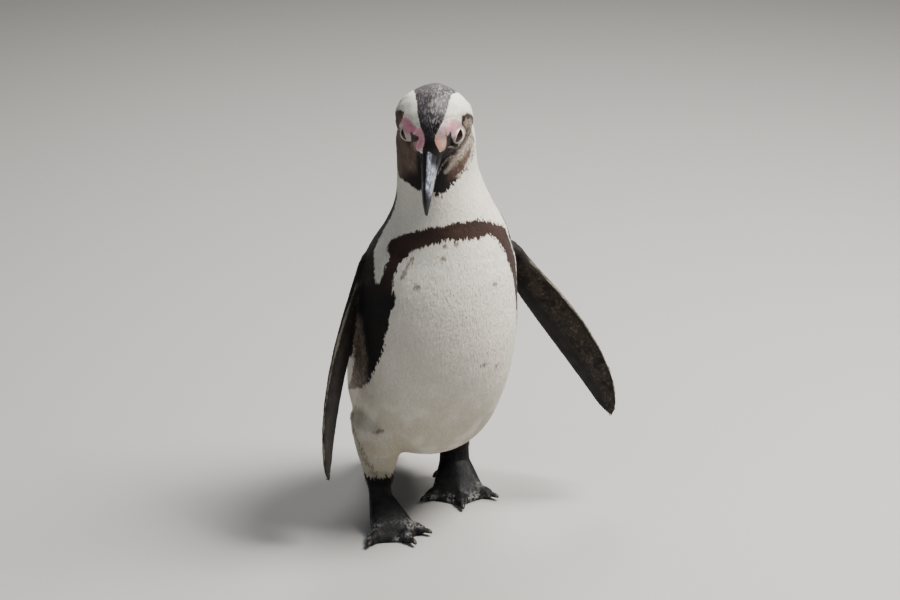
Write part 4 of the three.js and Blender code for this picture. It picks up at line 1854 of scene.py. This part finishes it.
COATS = (
    Coat("breast", Slot.WHITE, 1.2, 6.2, 2.1, 4.6, 4.0, 1),
    Coat("belly", Slot.WHITE, 1.2, 6.2, 2.1, 4.6, 4.0, 2),
    Coat("back", Slot.BLACK, 1.3, 6.8, 2.2, 4.8, 5.0, 3),
    Coat("neck_coat", Slot.WHITE, 0.95, 4.4, 1.5, 5.0, 5.0, 4),
    Coat("nape", Slot.BLACK, 0.75, 3.6, 1.1, 6.0, 7.0, 5),
    Coat("face", Slot.BLACK, 0.6, 2.8, 0.9, 8.0, 10.0, 6),
    Coat("thighs_and_tail", Slot.WHITE, 1.15, 5.8, 1.7, 8.0, 9.0, 7),
    Coat("flipper_left_coat", Slot.BLACK, 1.0, 3.8, 1.25, 5.0, 6.0, 8),
    Coat("flipper_right_coat", Slot.BLACK, 1.0, 3.8, 1.25, 5.0, 6.0, 9),
    Coat("foot_scales", Slot.FOOT, 1.45, 2.3, 1.9, 3.0, 8.0, 10),
    Coat("ankle_tufts", Slot.BLACK, 1.9, 6.5, 0.8, 24.0, 26.0, 11),
)
# a feather's patch of the bake map, and the share of the map that holds all the patches
BAKE_PATCH, BAKE_SHARE = 0.003, 0.99
# how far along a feather its colour is read, and how much its tint strays
SEEN_AT, TINT_SPREAD = 0.6, (0.93, 1.05)


def dress_vanes(made: Object, place: Place, shape: Vane, tint: Callable, unwrap: Callable) -> None:
    """Gives each vane its colour, its own barb map and its patch of the bake map.

    Args:
        made: A mesh of vanes.
        place: Carries its points back to the bird's millimetres.
        shape: The vane's measures.
        tint: Gives colours for points in the bird's millimetres.
        unwrap: Gives two coordinates, 0 to 1, for the same.
    """
    mesh = made.data
    count = len(shape.outline)
    points = place.millimetres(column(mesh.vertices, "co", 3)).reshape(-1, count, 3)
    root, tip = points[:, 0], points[:, 6]
    seen = root + SEEN_AT * (tip - root)
    rng = np.random.default_rng(SEED)
    colour = np.repeat(tint(seen)[:, None], count, axis=1)
    colour[:, 4:] = tint(points[:, 4:].reshape(-1, 3)).reshape(-1, count - 4, 3)
    colour *= rng.uniform(*TINT_SPREAD, (len(root), 1, 1))
    put(mesh, "tint", np.clip(colour, 0, 1).reshape(-1, 3), "FLOAT_COLOR")
    flat = shape.outline[:, :2] + [0.5, 0.0]
    corner = corner_vertices(mesh)
    within = flat[corner % count]
    patch = np.clip(unwrap(root), 0.0, 1.0) * BAKE_SHARE + BAKE_PATCH
    put_map(mesh, "OFBake", patch[corner // count] + (within - 0.5) * BAKE_PATCH)
    put_map(mesh, "vane", within)


# ---- where each patch of plumage grows ----


@dataclass
class Plumage:
    """All the coats over one skin."""

    skin: Skin
    marks: Markings
    shape: Vane = Vane()
    front: float = 88.0
    belly_top: float = 205.0
    tail_from: float = 74.0
    left_from: float = -8.0
    foot_top: float = 24.0

    def wrap_body(self, p: Array) -> Array:
        """Unwraps trunk and neck: round the spine and along it.

        Args:
            p: Points in millimetres.

        Returns:
            Two coordinates, 0 to 1.
        """
        spine = self.skin.spine
        line = np.stack([spine.x, spine.y, spine.z], axis=1).astype(float)
        run = np.concatenate([[0], np.cumsum(np.linalg.norm(np.diff(line, axis=0), axis=1))])
        best, along = np.full(len(p), 1e9), np.zeros(len(p))
        side = np.zeros((len(p), 3))
        for i in range(len(line) - 1):
            away, t = segment_distance(p, line[i], line[i + 1])
            closer = away < best
            foot = line[i] + t[:, None] * (line[i + 1] - line[i])
            best = np.where(closer, away, best)
            along = np.where(closer, run[i] + t * (run[i + 1] - run[i]), along)
            side = np.where(closer[:, None], p - foot, side)
        front = -side[:, 1] * 0.93 - side[:, 2] * 0.37
        ends = np.where(along <= 0, -best, 0) * 0.4
        u = np.arctan2(side[:, 0], front) / TURN + 0.5
        return np.stack([u, (along + ends + 30) / (run[-1] + 60)], axis=1)

    def wrap_head(self, p: Array) -> Array:
        """Unwraps the head as a disc round its hindmost point.

        Args:
            p: Points in millimetres.

        Returns:
            Two coordinates, 0 to 1.
        """
        q = self.skin.head.inward(p)
        away = np.arccos(np.clip(-unit(q)[:, 0], -1, 1)) / math.pi
        turn = np.arctan2(q[:, 2], q[:, 1])
        return 0.5 + 0.5 * away[:, None] * np.stack([np.cos(turn), np.sin(turn)], axis=1)

    def wrap_flipper(self, side: Side) -> Callable:
        """Unwraps a flipper's two faces side by side.

        Args:
            side: Which flipper.

        Returns:
            A function from points in the bird's millimetres to two coordinates, 0 to 1.
        """

        def wrap(p: Array) -> Array:
            """Across one face or the other, and along."""
            along, across, out = FLIPPERS[side].places(p)
            across = across * 0.46 + 0.02
            return np.stack([np.where(out > 0, across, 1 - across), along], axis=1)

        return wrap

    def wrap_limbs(self, p: Array) -> Array:
        """Unwraps legs, feet and tail, each round its own upright line.

        Args:
            p: Points in millimetres.

        Returns:
            Two coordinates, 0 to 1.
        """
        x, y, z = p.T
        tail = y > self.tail_from
        left = (x > self.left_from) & ~tail
        cx = np.where(tail, -7, np.where(left, 37, -56))
        cy = np.where(tail, 100, np.where(left, 46, -4))
        turn = np.arctan2(x - cx, -(y - cy)) / TURN + 0.5
        low = (z < self.foot_top) & ~tail
        third = np.where(tail, 2, np.where(left, 1, 0))
        across = np.where(low, np.clip((x - cx) / 110 + 0.5, 0, 1), turn)
        flat = 0.34 * np.clip((y - cy + 75) / 110, 0, 1)
        along = np.where(low, flat, 0.36 + 0.62 * np.clip(z / 150, 0, 1))
        return np.stack([(across * 0.96 + 0.02 + third) / 3, along], axis=1)

    def build(self, finish: Material) -> list[Object]:
        """Grows every patch of feathers.

        Args:
            finish: The feathers' material.

        Returns:
            The patches.
        """
        skin, marks = self.skin, self.marks
        tree, vane = CoatTree().build(), self.shape.build()
        p = skin.points
        q = skin.head.inward(p)
        z = p[:, 2]
        trunk, neck, head = skin.named("trunk"), skin.named("neck"), skin.named("head")
        leg, tail = skin.named("leg"), skin.named("tail")
        bare = marks.bare(q)
        bare[: skin.lids_from] |= skin.pit
        angle = skin.spine.angle(p)
        on = np.ones(len(p))
        face = head & (q[:, 0] > 4)
        small = 1 - 0.36 * ramp(z, 292, 342)
        nigh = np.linalg.norm(q - [22.0, 0, 4], axis=1)
        fine = np.clip(table(nigh, (10, 0.62), (24, 0.8), (36, 1.0)), 0, 1)
        shank = 1 + 2.0 * ramp(z, 66, 46)
        breast = trunk & (np.abs(angle) <= self.front)
        upper = (z > self.belly_top) & breast
        rear = 1 - 0.6 * tail * ramp(p[:, 1], 94, 108)
        ankle = np.where(p[:, 0] < 0, (z < 56) & (p[:, 0] > -62), (z < 74) & (p[:, 0] < 44))
        stern, legs = 1 - 0.25 * ramp(z, 80, 50), leg | (tail & (z > 56))
        left, right = skin.named("wing_left"), skin.named("wing_right")
        body, disc, limbs = self.wrap_body, self.wrap_head, self.wrap_limbs
        patches = {
            "breast": (upper, on, small, body),
            "belly": (breast & ~upper, on, small, body),
            "back": (trunk & ~breast, on, small, body),
            "neck_coat": (neck, on, 1 - 0.2 * ramp(z, 360, 395), body),
            "nape": (head & ~face, on, on, disc),
            "face": (face & ~bare, on, fine, disc),
            "thighs_and_tail": (legs, shank, stern * rear, limbs),
            "flipper_left_coat": (left, on, on, self.wrap_flipper(Side.LEFT)),
            "flipper_right_coat": (right, on, on, self.wrap_flipper(Side.RIGHT)),
            "foot_scales": (skin.named("foot") & (z > 3), on, on, limbs),
            "ankle_tufts": (leg & ankle & (z > 44), on, on, limbs),
        }
        tints = {
            "flipper_left_coat": lambda r: marks.flipper(r, Side.LEFT, 1.0),
            "flipper_right_coat": lambda r: marks.flipper(r, Side.RIGHT, 1.0),
            "foot_scales": marks.foot,
        }
        made = []
        for coat in COATS:
            *shares, unwrap = patches[coat.name]
            patch = coat.plant(skin, tree, vane, finish, tuple(shares))
            tint = tints.get(coat.name, marks.plumage)
            dress_vanes(patch, skin.place, self.shape, tint, unwrap)
            made.append(finished(patch, coat.slot))
        bpy.data.objects.remove(vane)
        return made


# ---- eyes ----


@dataclass(frozen=True)
class Eyeball:
    """One eye: a wet ball with a dark iris."""

    place: Place
    head: HeadSet
    side: Side
    pupil: float = 24.0
    iris: float = 44.0
    around: int = 56
    rings: int = 40

    def build(self, finish: Material) -> Object:
        """Makes the eyeball.

        Args:
            finish: Its material.

        Returns:
            The piece.
        """
        gaze = unit(np.array([0.5, self.side.value * 0.8, 0.22]))
        fore = unit(np.array([1.0, 0, 0]) - gaze[0] * gaze)
        rise = np.cross(fore, gaze)
        front, rear = self.rings * 2 // 3, self.rings // 3
        off = np.radians(np.concatenate([np.linspace(1.5, 60, front), np.linspace(68, 176, rear)]))
        points = [gaze]
        for a in off:
            for t in np.arange(self.around) * TURN / self.around:
                aside = math.cos(t) * fore + math.sin(t) * rise
                points.append(math.cos(a) * gaze + math.sin(a) * aside)
        points.append(-gaze)
        local = self.head.eye_radius * np.array(points)
        n, rows = self.around, len(off)
        faces, last = tube(rows, n, 1), 1 + (rows - 1) * n
        for i in range(n):
            j = (i + 1) % n
            faces += [(0, 1 + i, 1 + j), (last + n, last + j, last + i)]
        places = self.head.outward(self.head.eye(self.side) + local)
        made = mesh_object(f"eyeball_{self.side.word}", self.place, places, faces)
        facing_out(made.data)
        a = degrees_off(local, gaze)
        colour = np.tile((0.004, 0.003, 0.003), (len(local), 1))
        brown, edge = ramp(a, self.pupil, self.pupil + 3), ramp(a, self.iris - 6, self.iris)
        colour = layered(colour, ((0.030, 0.013, 0.008), brown), ((0.006, 0.004, 0.004), edge))
        put(made.data, "tint", colour, "FLOAT_COLOR")
        made.data.materials.append(finish)
        return finished(made, Slot.EYE, f"eye_{self.side.word}")


# ---- bill and claws ----


@dataclass(frozen=True)
class BillHalf:
    """The upper or the lower half of the bill, in plates with a groove between them."""

    place: Place
    head: HeadSet
    name: str
    stations: tuple[tuple[float, float, float, float], ...]
    upper: bool
    around: int = 56
    rings: int = 110
    rounding: float = 1.11
    gap: float = 0.16

    def profile(self) -> Array:
        """Reads the stations closely along the bill.

        Returns:
            A row for each ring: how far ahead, its edge, its crest and its half width.
        """
        s = np.array(self.stations)
        t = np.linspace(0, 1, self.rings) ** 0.85
        ahead = s[0, 0] + (s[-1, 0] - s[0, 0]) * t
        grid = np.linspace(s[0, 0], s[-1, 0], 400)
        out = [ahead]
        for k in (1, 2, 3):
            v = np.interp(grid, s[:, 0], s[:, k])
            pad = np.pad(v, 24, mode="reflect", reflect_type="odd")
            v = np.convolve(pad, np.hanning(49) / np.hanning(49).sum(), "valid")
            out.append(np.interp(ahead, grid, v))
        return np.stack(out, axis=1)

    def build(self, finish: Material, node: str) -> Object:
        """Makes this half.

        Args:
            finish: Its material.
            node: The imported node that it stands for.

        Returns:
            The piece.
        """
        dome = self.around * 3 // 4
        a = np.concatenate([np.linspace(0, math.pi, dome), np.full(self.around - dome, math.pi)])
        flat = np.linspace(1, -1, self.around - dome + 2)[1:-1] * -1
        points, facts = [], []
        for ahead, edge, crest, wide in self.profile():
            x = np.sign(np.cos(a)) * np.abs(np.cos(a)) ** self.rounding
            h = np.abs(np.sin(a)) ** self.rounding
            x[dome:], h[dome:] = flat, 0
            gap, groove = (self.gap, 0.5) if self.upper else (-self.gap, 0.45)
            away = 0.34 * bell(h, groove, 0.075) * ramp(ahead, 33, 38) * ramp(ahead, 79, 70)
            if self.upper:
                away += 1.15 * (bell(ahead, 39.5, 3.6, 4) * bell(h, groove, 0.11))
                away -= 0.25 * bell(h, 0.97, 0.1) * ramp(ahead, 28, 40) * ramp(ahead, 70, 60)
            away[dome:] = 0
            shrink = 1 - away / max(wide, 0.9)
            top = crest - edge
            high = edge + gap + h * (top - gap) * (1 - 0.3 * away / max(abs(top), 1))
            run = np.full(self.around, ahead)
            points.append(np.stack([run, x * wide * shrink, high], axis=1))
            facts.append(np.stack([run, x, h], axis=1))
        q, fact = np.vstack(points), np.vstack(facts)
        rough = (noise(q * [0.35, 1, 1], 1.5, 41) - 0.5) * 0.16
        rough = rough + (noise(q * [1.6, 0.4, 0.4], 2.0, 42) - 0.5) * 0.10
        q[:, 1] *= 1 + rough / 4
        faces = tube(self.rings, self.around)
        ring = range(self.around)
        faces += [tuple(ring)[::-1], tuple((self.rings - 1) * self.around + i for i in ring)]
        made = mesh_object(self.name, self.place, self.head.outward(q), faces)
        facing_out(made.data)
        put(made.data, "tint", self.colours(q, fact), "FLOAT_COLOR")
        ahead, x, h = fact[corner_vertices(made.data)].T
        round_it = (x * 0.25 + 0.5) + h * 0.3 * np.sign(x + 1e-6)
        put_map(made.data, "growth", np.stack([ahead / 30, round_it], axis=1))
        made.data.materials.append(finish)
        return finished(made, Slot.HORN, node)

    def colours(self, q: Array, fact: Array) -> Array:
        """Colours the horn black, with the pale side, partly scuffed and partly a painted highlight, and
        the grey band near the tip.

        Args:
            q: Points in the head's own axes.
            fact: For each, how far ahead it is, its place across and its share of the height.

        Returns:
            The colours.
        """
        ahead, x, h = fact.T
        streak = 0.6 * noise(q * [0.16, 1.5, 1.5], 1.3, 43) + 0.4 * noise(q, 1.3, 45)
        fleck = noise(q, 1.1, 44)
        colour = shaded((0.020, 0.020, 0.024), 0.8 + 0.5 * fleck)
        # the upper left half, which the key lights, pale grey-blue: partly grey scuffs, partly a painted
        # highlight
        lit_left_half = ramp(x, -0.22, 0.0) * ramp(ahead, 28, 33) * ramp(ahead, 77, 66)
        wedge = ramp(x, 0.16, 0.34) * ramp(ahead, 52, 43)
        pale = lit_left_half * (1 - 0.97 * wedge)
        pale *= ramp(h, 0.12, 0.35) if self.upper else 0.5 * ramp(h, 0.1, 0.4) * ramp(x, 0.2, 0.4)
        pale *= 0.25 + 0.75 * ramp(streak, 0.36, 0.56)
        colour = mixed(colour, (0.40, 0.43, 0.50), 0.8 * pale)
        band = ramp(ahead, 60, 63) * ramp(ahead, 71, 67) * ramp(np.abs(x), 0.2, 0.5)
        band = band * ramp(streak, 0.3, 0.6)
        colour = mixed(colour, (0.20, 0.21, 0.22), 0.55 * band * (x <= 0.1))
        if self.upper:
            # the nostril painted black in its shallow groove: painted shade
            slit = bell(ahead, 39.5, 3.4, 4) * bell(h, 0.5, 0.09)
            colour = mixed(colour, (0.004, 0.004, 0.004), slit)
        return colour


UPPER_BILL = (
    (27, -3.5, 16.5, 11), (37, -3.4, 13, 9.4), (48, -3, 10.6, 7.4), (60, -2.8, 8.8, 6),
    (70, -3.4, 6.6, 4.8), (79, -5.2, 2.2, 3.4), (84.5, -8.6, -3.4, 2), (87, -11.6, -9, 0.9),
)
LOWER_BILL = (
    (27, -3.5, -14.5, 10.2), (37, -3.4, -13, 8.6), (48, -3, -11.8, 6.6), (60, -2.8, -11.2, 5.2),
    (70, -3.4, -10.4, 4), (78, -5, -8.4, 2.2),
)


@dataclass(frozen=True)
class Claws:
    """The six blunt claws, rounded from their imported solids."""

    nodes: dict[str, Object]
    place: Place

    def build(self, finish: Material) -> list[Object]:
        """Makes the claws.

        Args:
            finish: Their material.

        Returns:
            The pieces.
        """
        made = []
        for side in Side:
            for toe in ("inner", "middle", "outer"):
                node = f"claw_{toe}_{side.word}"
                p, t = merged(self.nodes[node].data, self.place)
                claw = mesh_object(f"rounded_{node}", self.place, p, t)
                rounder = claw.modifiers.new("rounder", "SUBSURF")
                rounder.levels = rounder.render_levels = 2
                frozen(claw)
                claw.data.materials.append(finish)
                made.append(finished(claw, Slot.HORN, node))
        return made


# ---- the tail's stiff feathers ----


@dataclass(frozen=True)
class TailFan:
    """Stiff feathers laid like tiles over the tail's back and front, the middle ones longest."""

    skin: Skin
    marks: Markings
    count: int = 15
    half_width: float = 3.3
    steps: int = 22
    line: tuple[Colour, ...] = (
        (-6, 86, 80), (-6, 101, 66), (-7, 112, 48), (-8, 120, 30), (-8, 125, 15),
    )
    reach: tuple[float, ...] = (26, 27, 26, 21, 11)
    above: float = 30.0
    grain: float = 7.0
    starts: float = 0.25
    ends: float = 0.965
    outer_shorter: float = 0.22
    tones: tuple[float, float] = (0.75, 1.3)

    def blade(self, tree: BVHTree, aside: float, face: float) -> Array:
        """Lays one feather on the skin of the tail.

        Args:
            tree: The skin's faces, in packed millimetres.
            aside: The feather's place across the fan, -1 to 1.
            face: 1 on the back of the tail and -1 on its front.

        Returns:
            Four points round the feather at each step, in the bird's millimetres.
        """
        place = self.skin.place
        knots = np.linspace(0, 1, len(self.line))
        ends = self.ends - self.outer_shorter * aside * aside
        share = np.linspace(self.starts, ends, self.steps)
        axis = np.stack([np.interp(share, knots, c) for c in np.array(self.line, float).T], axis=1)
        up = face * unit(np.array([0.0, 65.0, 39.0]))
        across = aside * np.minimum(15 + 13 * share, 0.93 * np.interp(share, knots, self.reach))
        middle = axis + across[:, None] * np.array([1.0, 0, 0])
        high = []
        for point in middle:
            start, goal = place.shifted(point + up * self.above), place.shifted(point)
            hit = tree.ray_cast(Vector(start), Vector(goal - start))[0]
            high.append(np.nan if hit is None else self.above - (hit - Vector(start)).length)
        high = np.array(high)
        known = ~np.isnan(high)
        high = np.interp(share, share[known], high[known])
        done = np.linspace(0, 1, self.steps)
        half = self.half_width * np.sqrt(ramp(done, -0.35, 0.3))
        half = half * (1 - ramp(done, 0.78, 1.02) ** 1.6 * 0.93)
        level = high + 0.6 * ramp(done, 1.15, 0.8) - 0.3 * abs(aside) - 3.4 * ramp(done, 0.3, 0.0)
        lean = -0.42 * np.sign(aside) * ramp(np.array(abs(aside)), 0, 0.2)
        ring = []
        for sideways, rise in ((-1, 0.0), (0, 0.42), (1, 0.0), (0, -0.12)):
            tilt = 0.0 if sideways == 0 else sideways * float(lean)
            point = middle + (sideways * half)[:, None] * np.array([1.0, 0, 0])
            ring.append(point + (level + rise + tilt)[:, None] * up)
        return np.stack(ring, axis=1)

    def strips(self, mesh: Mesh, blades: int) -> Array:
        """Unwraps each side of each feather to a strip, with its two ends in patches above.

        Args:
            mesh: The fan's mesh.
            blades: How many feathers it has.

        Returns:
            Two coordinates for each face corner.
        """
        corner = corner_vertices(mesh)
        sizes = column(mesh.polygons, "loop_total", 1, int)[:, 0]
        face = np.repeat(np.arange(len(sizes)), sizes)
        each = 4 * (self.steps - 1) + 2
        blade, local = face // each, face % each
        step, col = (corner % (4 * self.steps)) // 4, corner % 4
        along = local < each - 2
        side = np.where(along, local % 4, 2 * (local % 2))
        u = np.where(along, col != side, (col == 1) | (col == 2))
        v = np.where(along, 0.02 + 0.93 * step / (self.steps - 1), 0.97 + 0.02 * (col > 1))
        return np.stack([(4 * blade + side + 0.08 + 0.84 * u) / (4 * blades), v], axis=1)

    def build(self, finish: Material) -> Object:
        """Makes the fan.

        Args:
            finish: The feathers' material.

        Returns:
            The piece.
        """
        skin, ink = self.skin, self.marks.ink
        tree = skin.tree()
        fan = [(face, aside) for face in (1.0, -1.0) for aside in np.linspace(-1, 1, self.count)]
        points = np.vstack([self.blade(tree, aside, face).reshape(-1, 3) for face, aside in fan])
        quads: list[tuple[int, ...]] = []
        for first in range(0, len(points), 4 * self.steps):
            last = first + (self.steps - 1) * 4
            quads += tube(self.steps, 4, first)
            quads.append((first + 3, first + 2, first + 1, first))
            quads.append((last, last + 1, last + 2, last + 3))
        made = mesh_object("tail_fan", skin.place, points, quads)
        facing_out(made.data)
        along = np.tile(np.repeat(np.linspace(0, 1, self.steps), 4), len(fan))
        rng = np.random.default_rng(SEED + 20)
        tone = np.repeat(rng.uniform(*self.tones, len(fan)), self.steps * 4)
        colour = shaded(ink.black, tone)
        edge = np.tile((1.0, 0.0, 1.0, 0.6), self.steps * len(fan))
        worn = ramp(along, 0.7, 1.0) * (0.2 + 0.5 * edge) * noise(points, 3.0, 61)
        put(made.data, "tint", mixed(colour, ink.worn, worn), "FLOAT_COLOR")
        across = np.tile((0.0, 0.5, 1.0, 0.5), self.steps * len(fan))
        corner = corner_vertices(made.data)
        put_map(made.data, "vane", np.stack([across[corner], along[corner] * self.grain], axis=1))
        put_map(made.data, "OFBake", self.strips(made.data, len(fan)))
        made.data.materials.append(finish)
        return finished(made, Slot.BLACK)


# ---- studio ----


@dataclass(frozen=True)
class Lamp:
    """A soft square light: where it hangs round the bird, its size, power and colour."""

    name: str
    azimuth: float
    elevation: float
    distance: float
    size: float
    power: float
    colour: Colour


@dataclass(frozen=True)
class Studio:
    """Floor, soft lights, and the camera's place."""

    target: Colour = (-0.0108, -0.004, 0.222)
    azimuth: float = -16.0
    elevation: float = 22.0
    distance: float = 2.15
    lens: float = 89.44
    sensor: float = 36.0
    sky: Colour = (0.95, 0.97, 1.0)
    sky_power: float = 0.11
    floor_half: float = 12.0
    floor_level: float = -0.0006
    lamps: tuple[Lamp, ...] = (
        Lamp("key", 64, 60, 1.9, 0.8, 80, (1.0, 0.97, 0.93)),
        Lamp("fill", -52, 42, 2.2, 1.6, 7, (0.80, 0.90, 1.0)),
        Lamp("rim", 160, 50, 2.0, 0.9, 20, (1.0, 0.98, 0.95)),
    )

    def aimed(self, made: Object, place: "Lamp | Studio") -> None:
        """Puts an object at a place round the target, and aims it there.

        Args:
            made: The object.
            place: Holds the place's azimuth and elevation in degrees, and its distance.
        """
        a, e = math.radians(place.azimuth), math.radians(place.elevation)
        back = Vector((math.sin(a) * math.cos(e), -math.cos(a) * math.cos(e), math.sin(e)))
        made.location = Vector(self.target) + back * place.distance
        made.rotation_mode = "QUATERNION"
        made.rotation_quaternion = (-back).to_track_quat("-Z", "Y")

    def camera(self) -> None:
        """Sets up the camera."""
        data = bpy.data.cameras.new("camera")
        data.lens, data.sensor_width = self.lens, self.sensor
        made = linked("camera", data)
        self.aimed(made, self)
        bpy.context.scene.camera = made

    def light(self, lamp: Lamp) -> None:
        """Hangs one light."""
        data = bpy.data.lights.new(lamp.name, "AREA")
        data.shape, data.size, data.energy, data.color = "SQUARE", lamp.size, lamp.power, lamp.colour
        self.aimed(linked(lamp.name, data), lamp)

    def build(self) -> None:
        """Lays the floor and hangs the lights."""
        mesh = bpy.data.meshes.new("floor")
        r, z = self.floor_half, self.floor_level
        mesh.from_pydata([(-r, -r, z), (r, -r, z), (r, r, z), (-r, r, z)], [], [(0, 1, 2, 3)])
        mesh.materials.append(FloorFinish().build())
        floor = linked("floor", mesh)
        floor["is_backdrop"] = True
        for lamp in self.lamps:
            self.light(lamp)
        world = bpy.data.worlds.new("studio")
        world.use_nodes = True
        sky = world.node_tree.nodes["Background"]
        sky.inputs["Color"].default_value = (*self.sky, 1)
        sky.inputs["Strength"].default_value = self.sky_power
        bpy.context.scene.world = world
        bpy.context.scene.view_settings.view_transform = "AgX"
        bpy.context.scene.view_settings.look = "AgX - Medium High Contrast"


def corners(box: tuple[Vector, Vector]) -> list[list[float]]:
    """A box's two corners as plain lists."""
    return [[float(v) for v in corner] for corner in box]


def dressed_skin(skin: Skin, marks: Markings) -> Object:
    """Colours the skin and hands it over for all the nodes of flesh.

    Args:
        skin: The skin.
        marks: Where the colours lie.

    Returns:
        The piece.
    """
    made = skin.build()
    p = skin.points
    colour = marks.plumage(p, 0.0)
    for side in Side:
        wing = skin.named(f"wing_{side.word}")
        colour[wing] = marks.flipper(p[wing], side, 0.0)
    feet = skin.named("foot")
    colour[feet] = marks.foot(p[feet])
    put(made.data, "tint", np.clip(colour, 0, 1), "FLOAT_COLOR")
    q = skin.head.inward(p)
    gloss = 0.8 * feet + 0.5 * (marks.bare(q) & skin.named("head"))
    put(made.data, "gloss", gloss.astype(float), "FLOAT")
    made.data.materials.clear()
    made.data.materials.append(SkinFinish().build())
    made.data.shade_smooth()
    return finished(made, Slot.WHITE, *FLESH)


def main() -> None:
    """Builds the bird from the skin outwards and sets it in the studio."""
    logging.basicConfig(level=logging.INFO, format="%(name)s: %(message)s")
    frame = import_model()
    packed_box = corners(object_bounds())
    studio, head, spine = Studio(), HeadSet(), Spine()
    studio.camera()
    place = Place.of(head)
    marks = Markings(head, spine)
    skin = Skin(frame["nodes"], place, head, spine)
    dressed_skin(skin, marks)
    feather = FeatherFinish().build()
    Plumage(skin, marks).build(feather)
    TailFan(skin, marks).build(feather)
    eye, horn = EyeFinish().build(), HornFinish().build()
    for side in Side:
        Eyeball(place, head, side).build(eye)
    BillHalf(place, head, "upper_bill", UPPER_BILL, True).build(horn, "bill_upper")
    BillHalf(place, head, "lower_bill", LOWER_BILL, False).build(horn, "bill_lower")
    Claws(frame["nodes"], place).build(ClawFinish().build())
    studio.build()
    {"packed": packed_box, "shown": corners(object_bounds())}


if __name__ == "__main__":
    main()
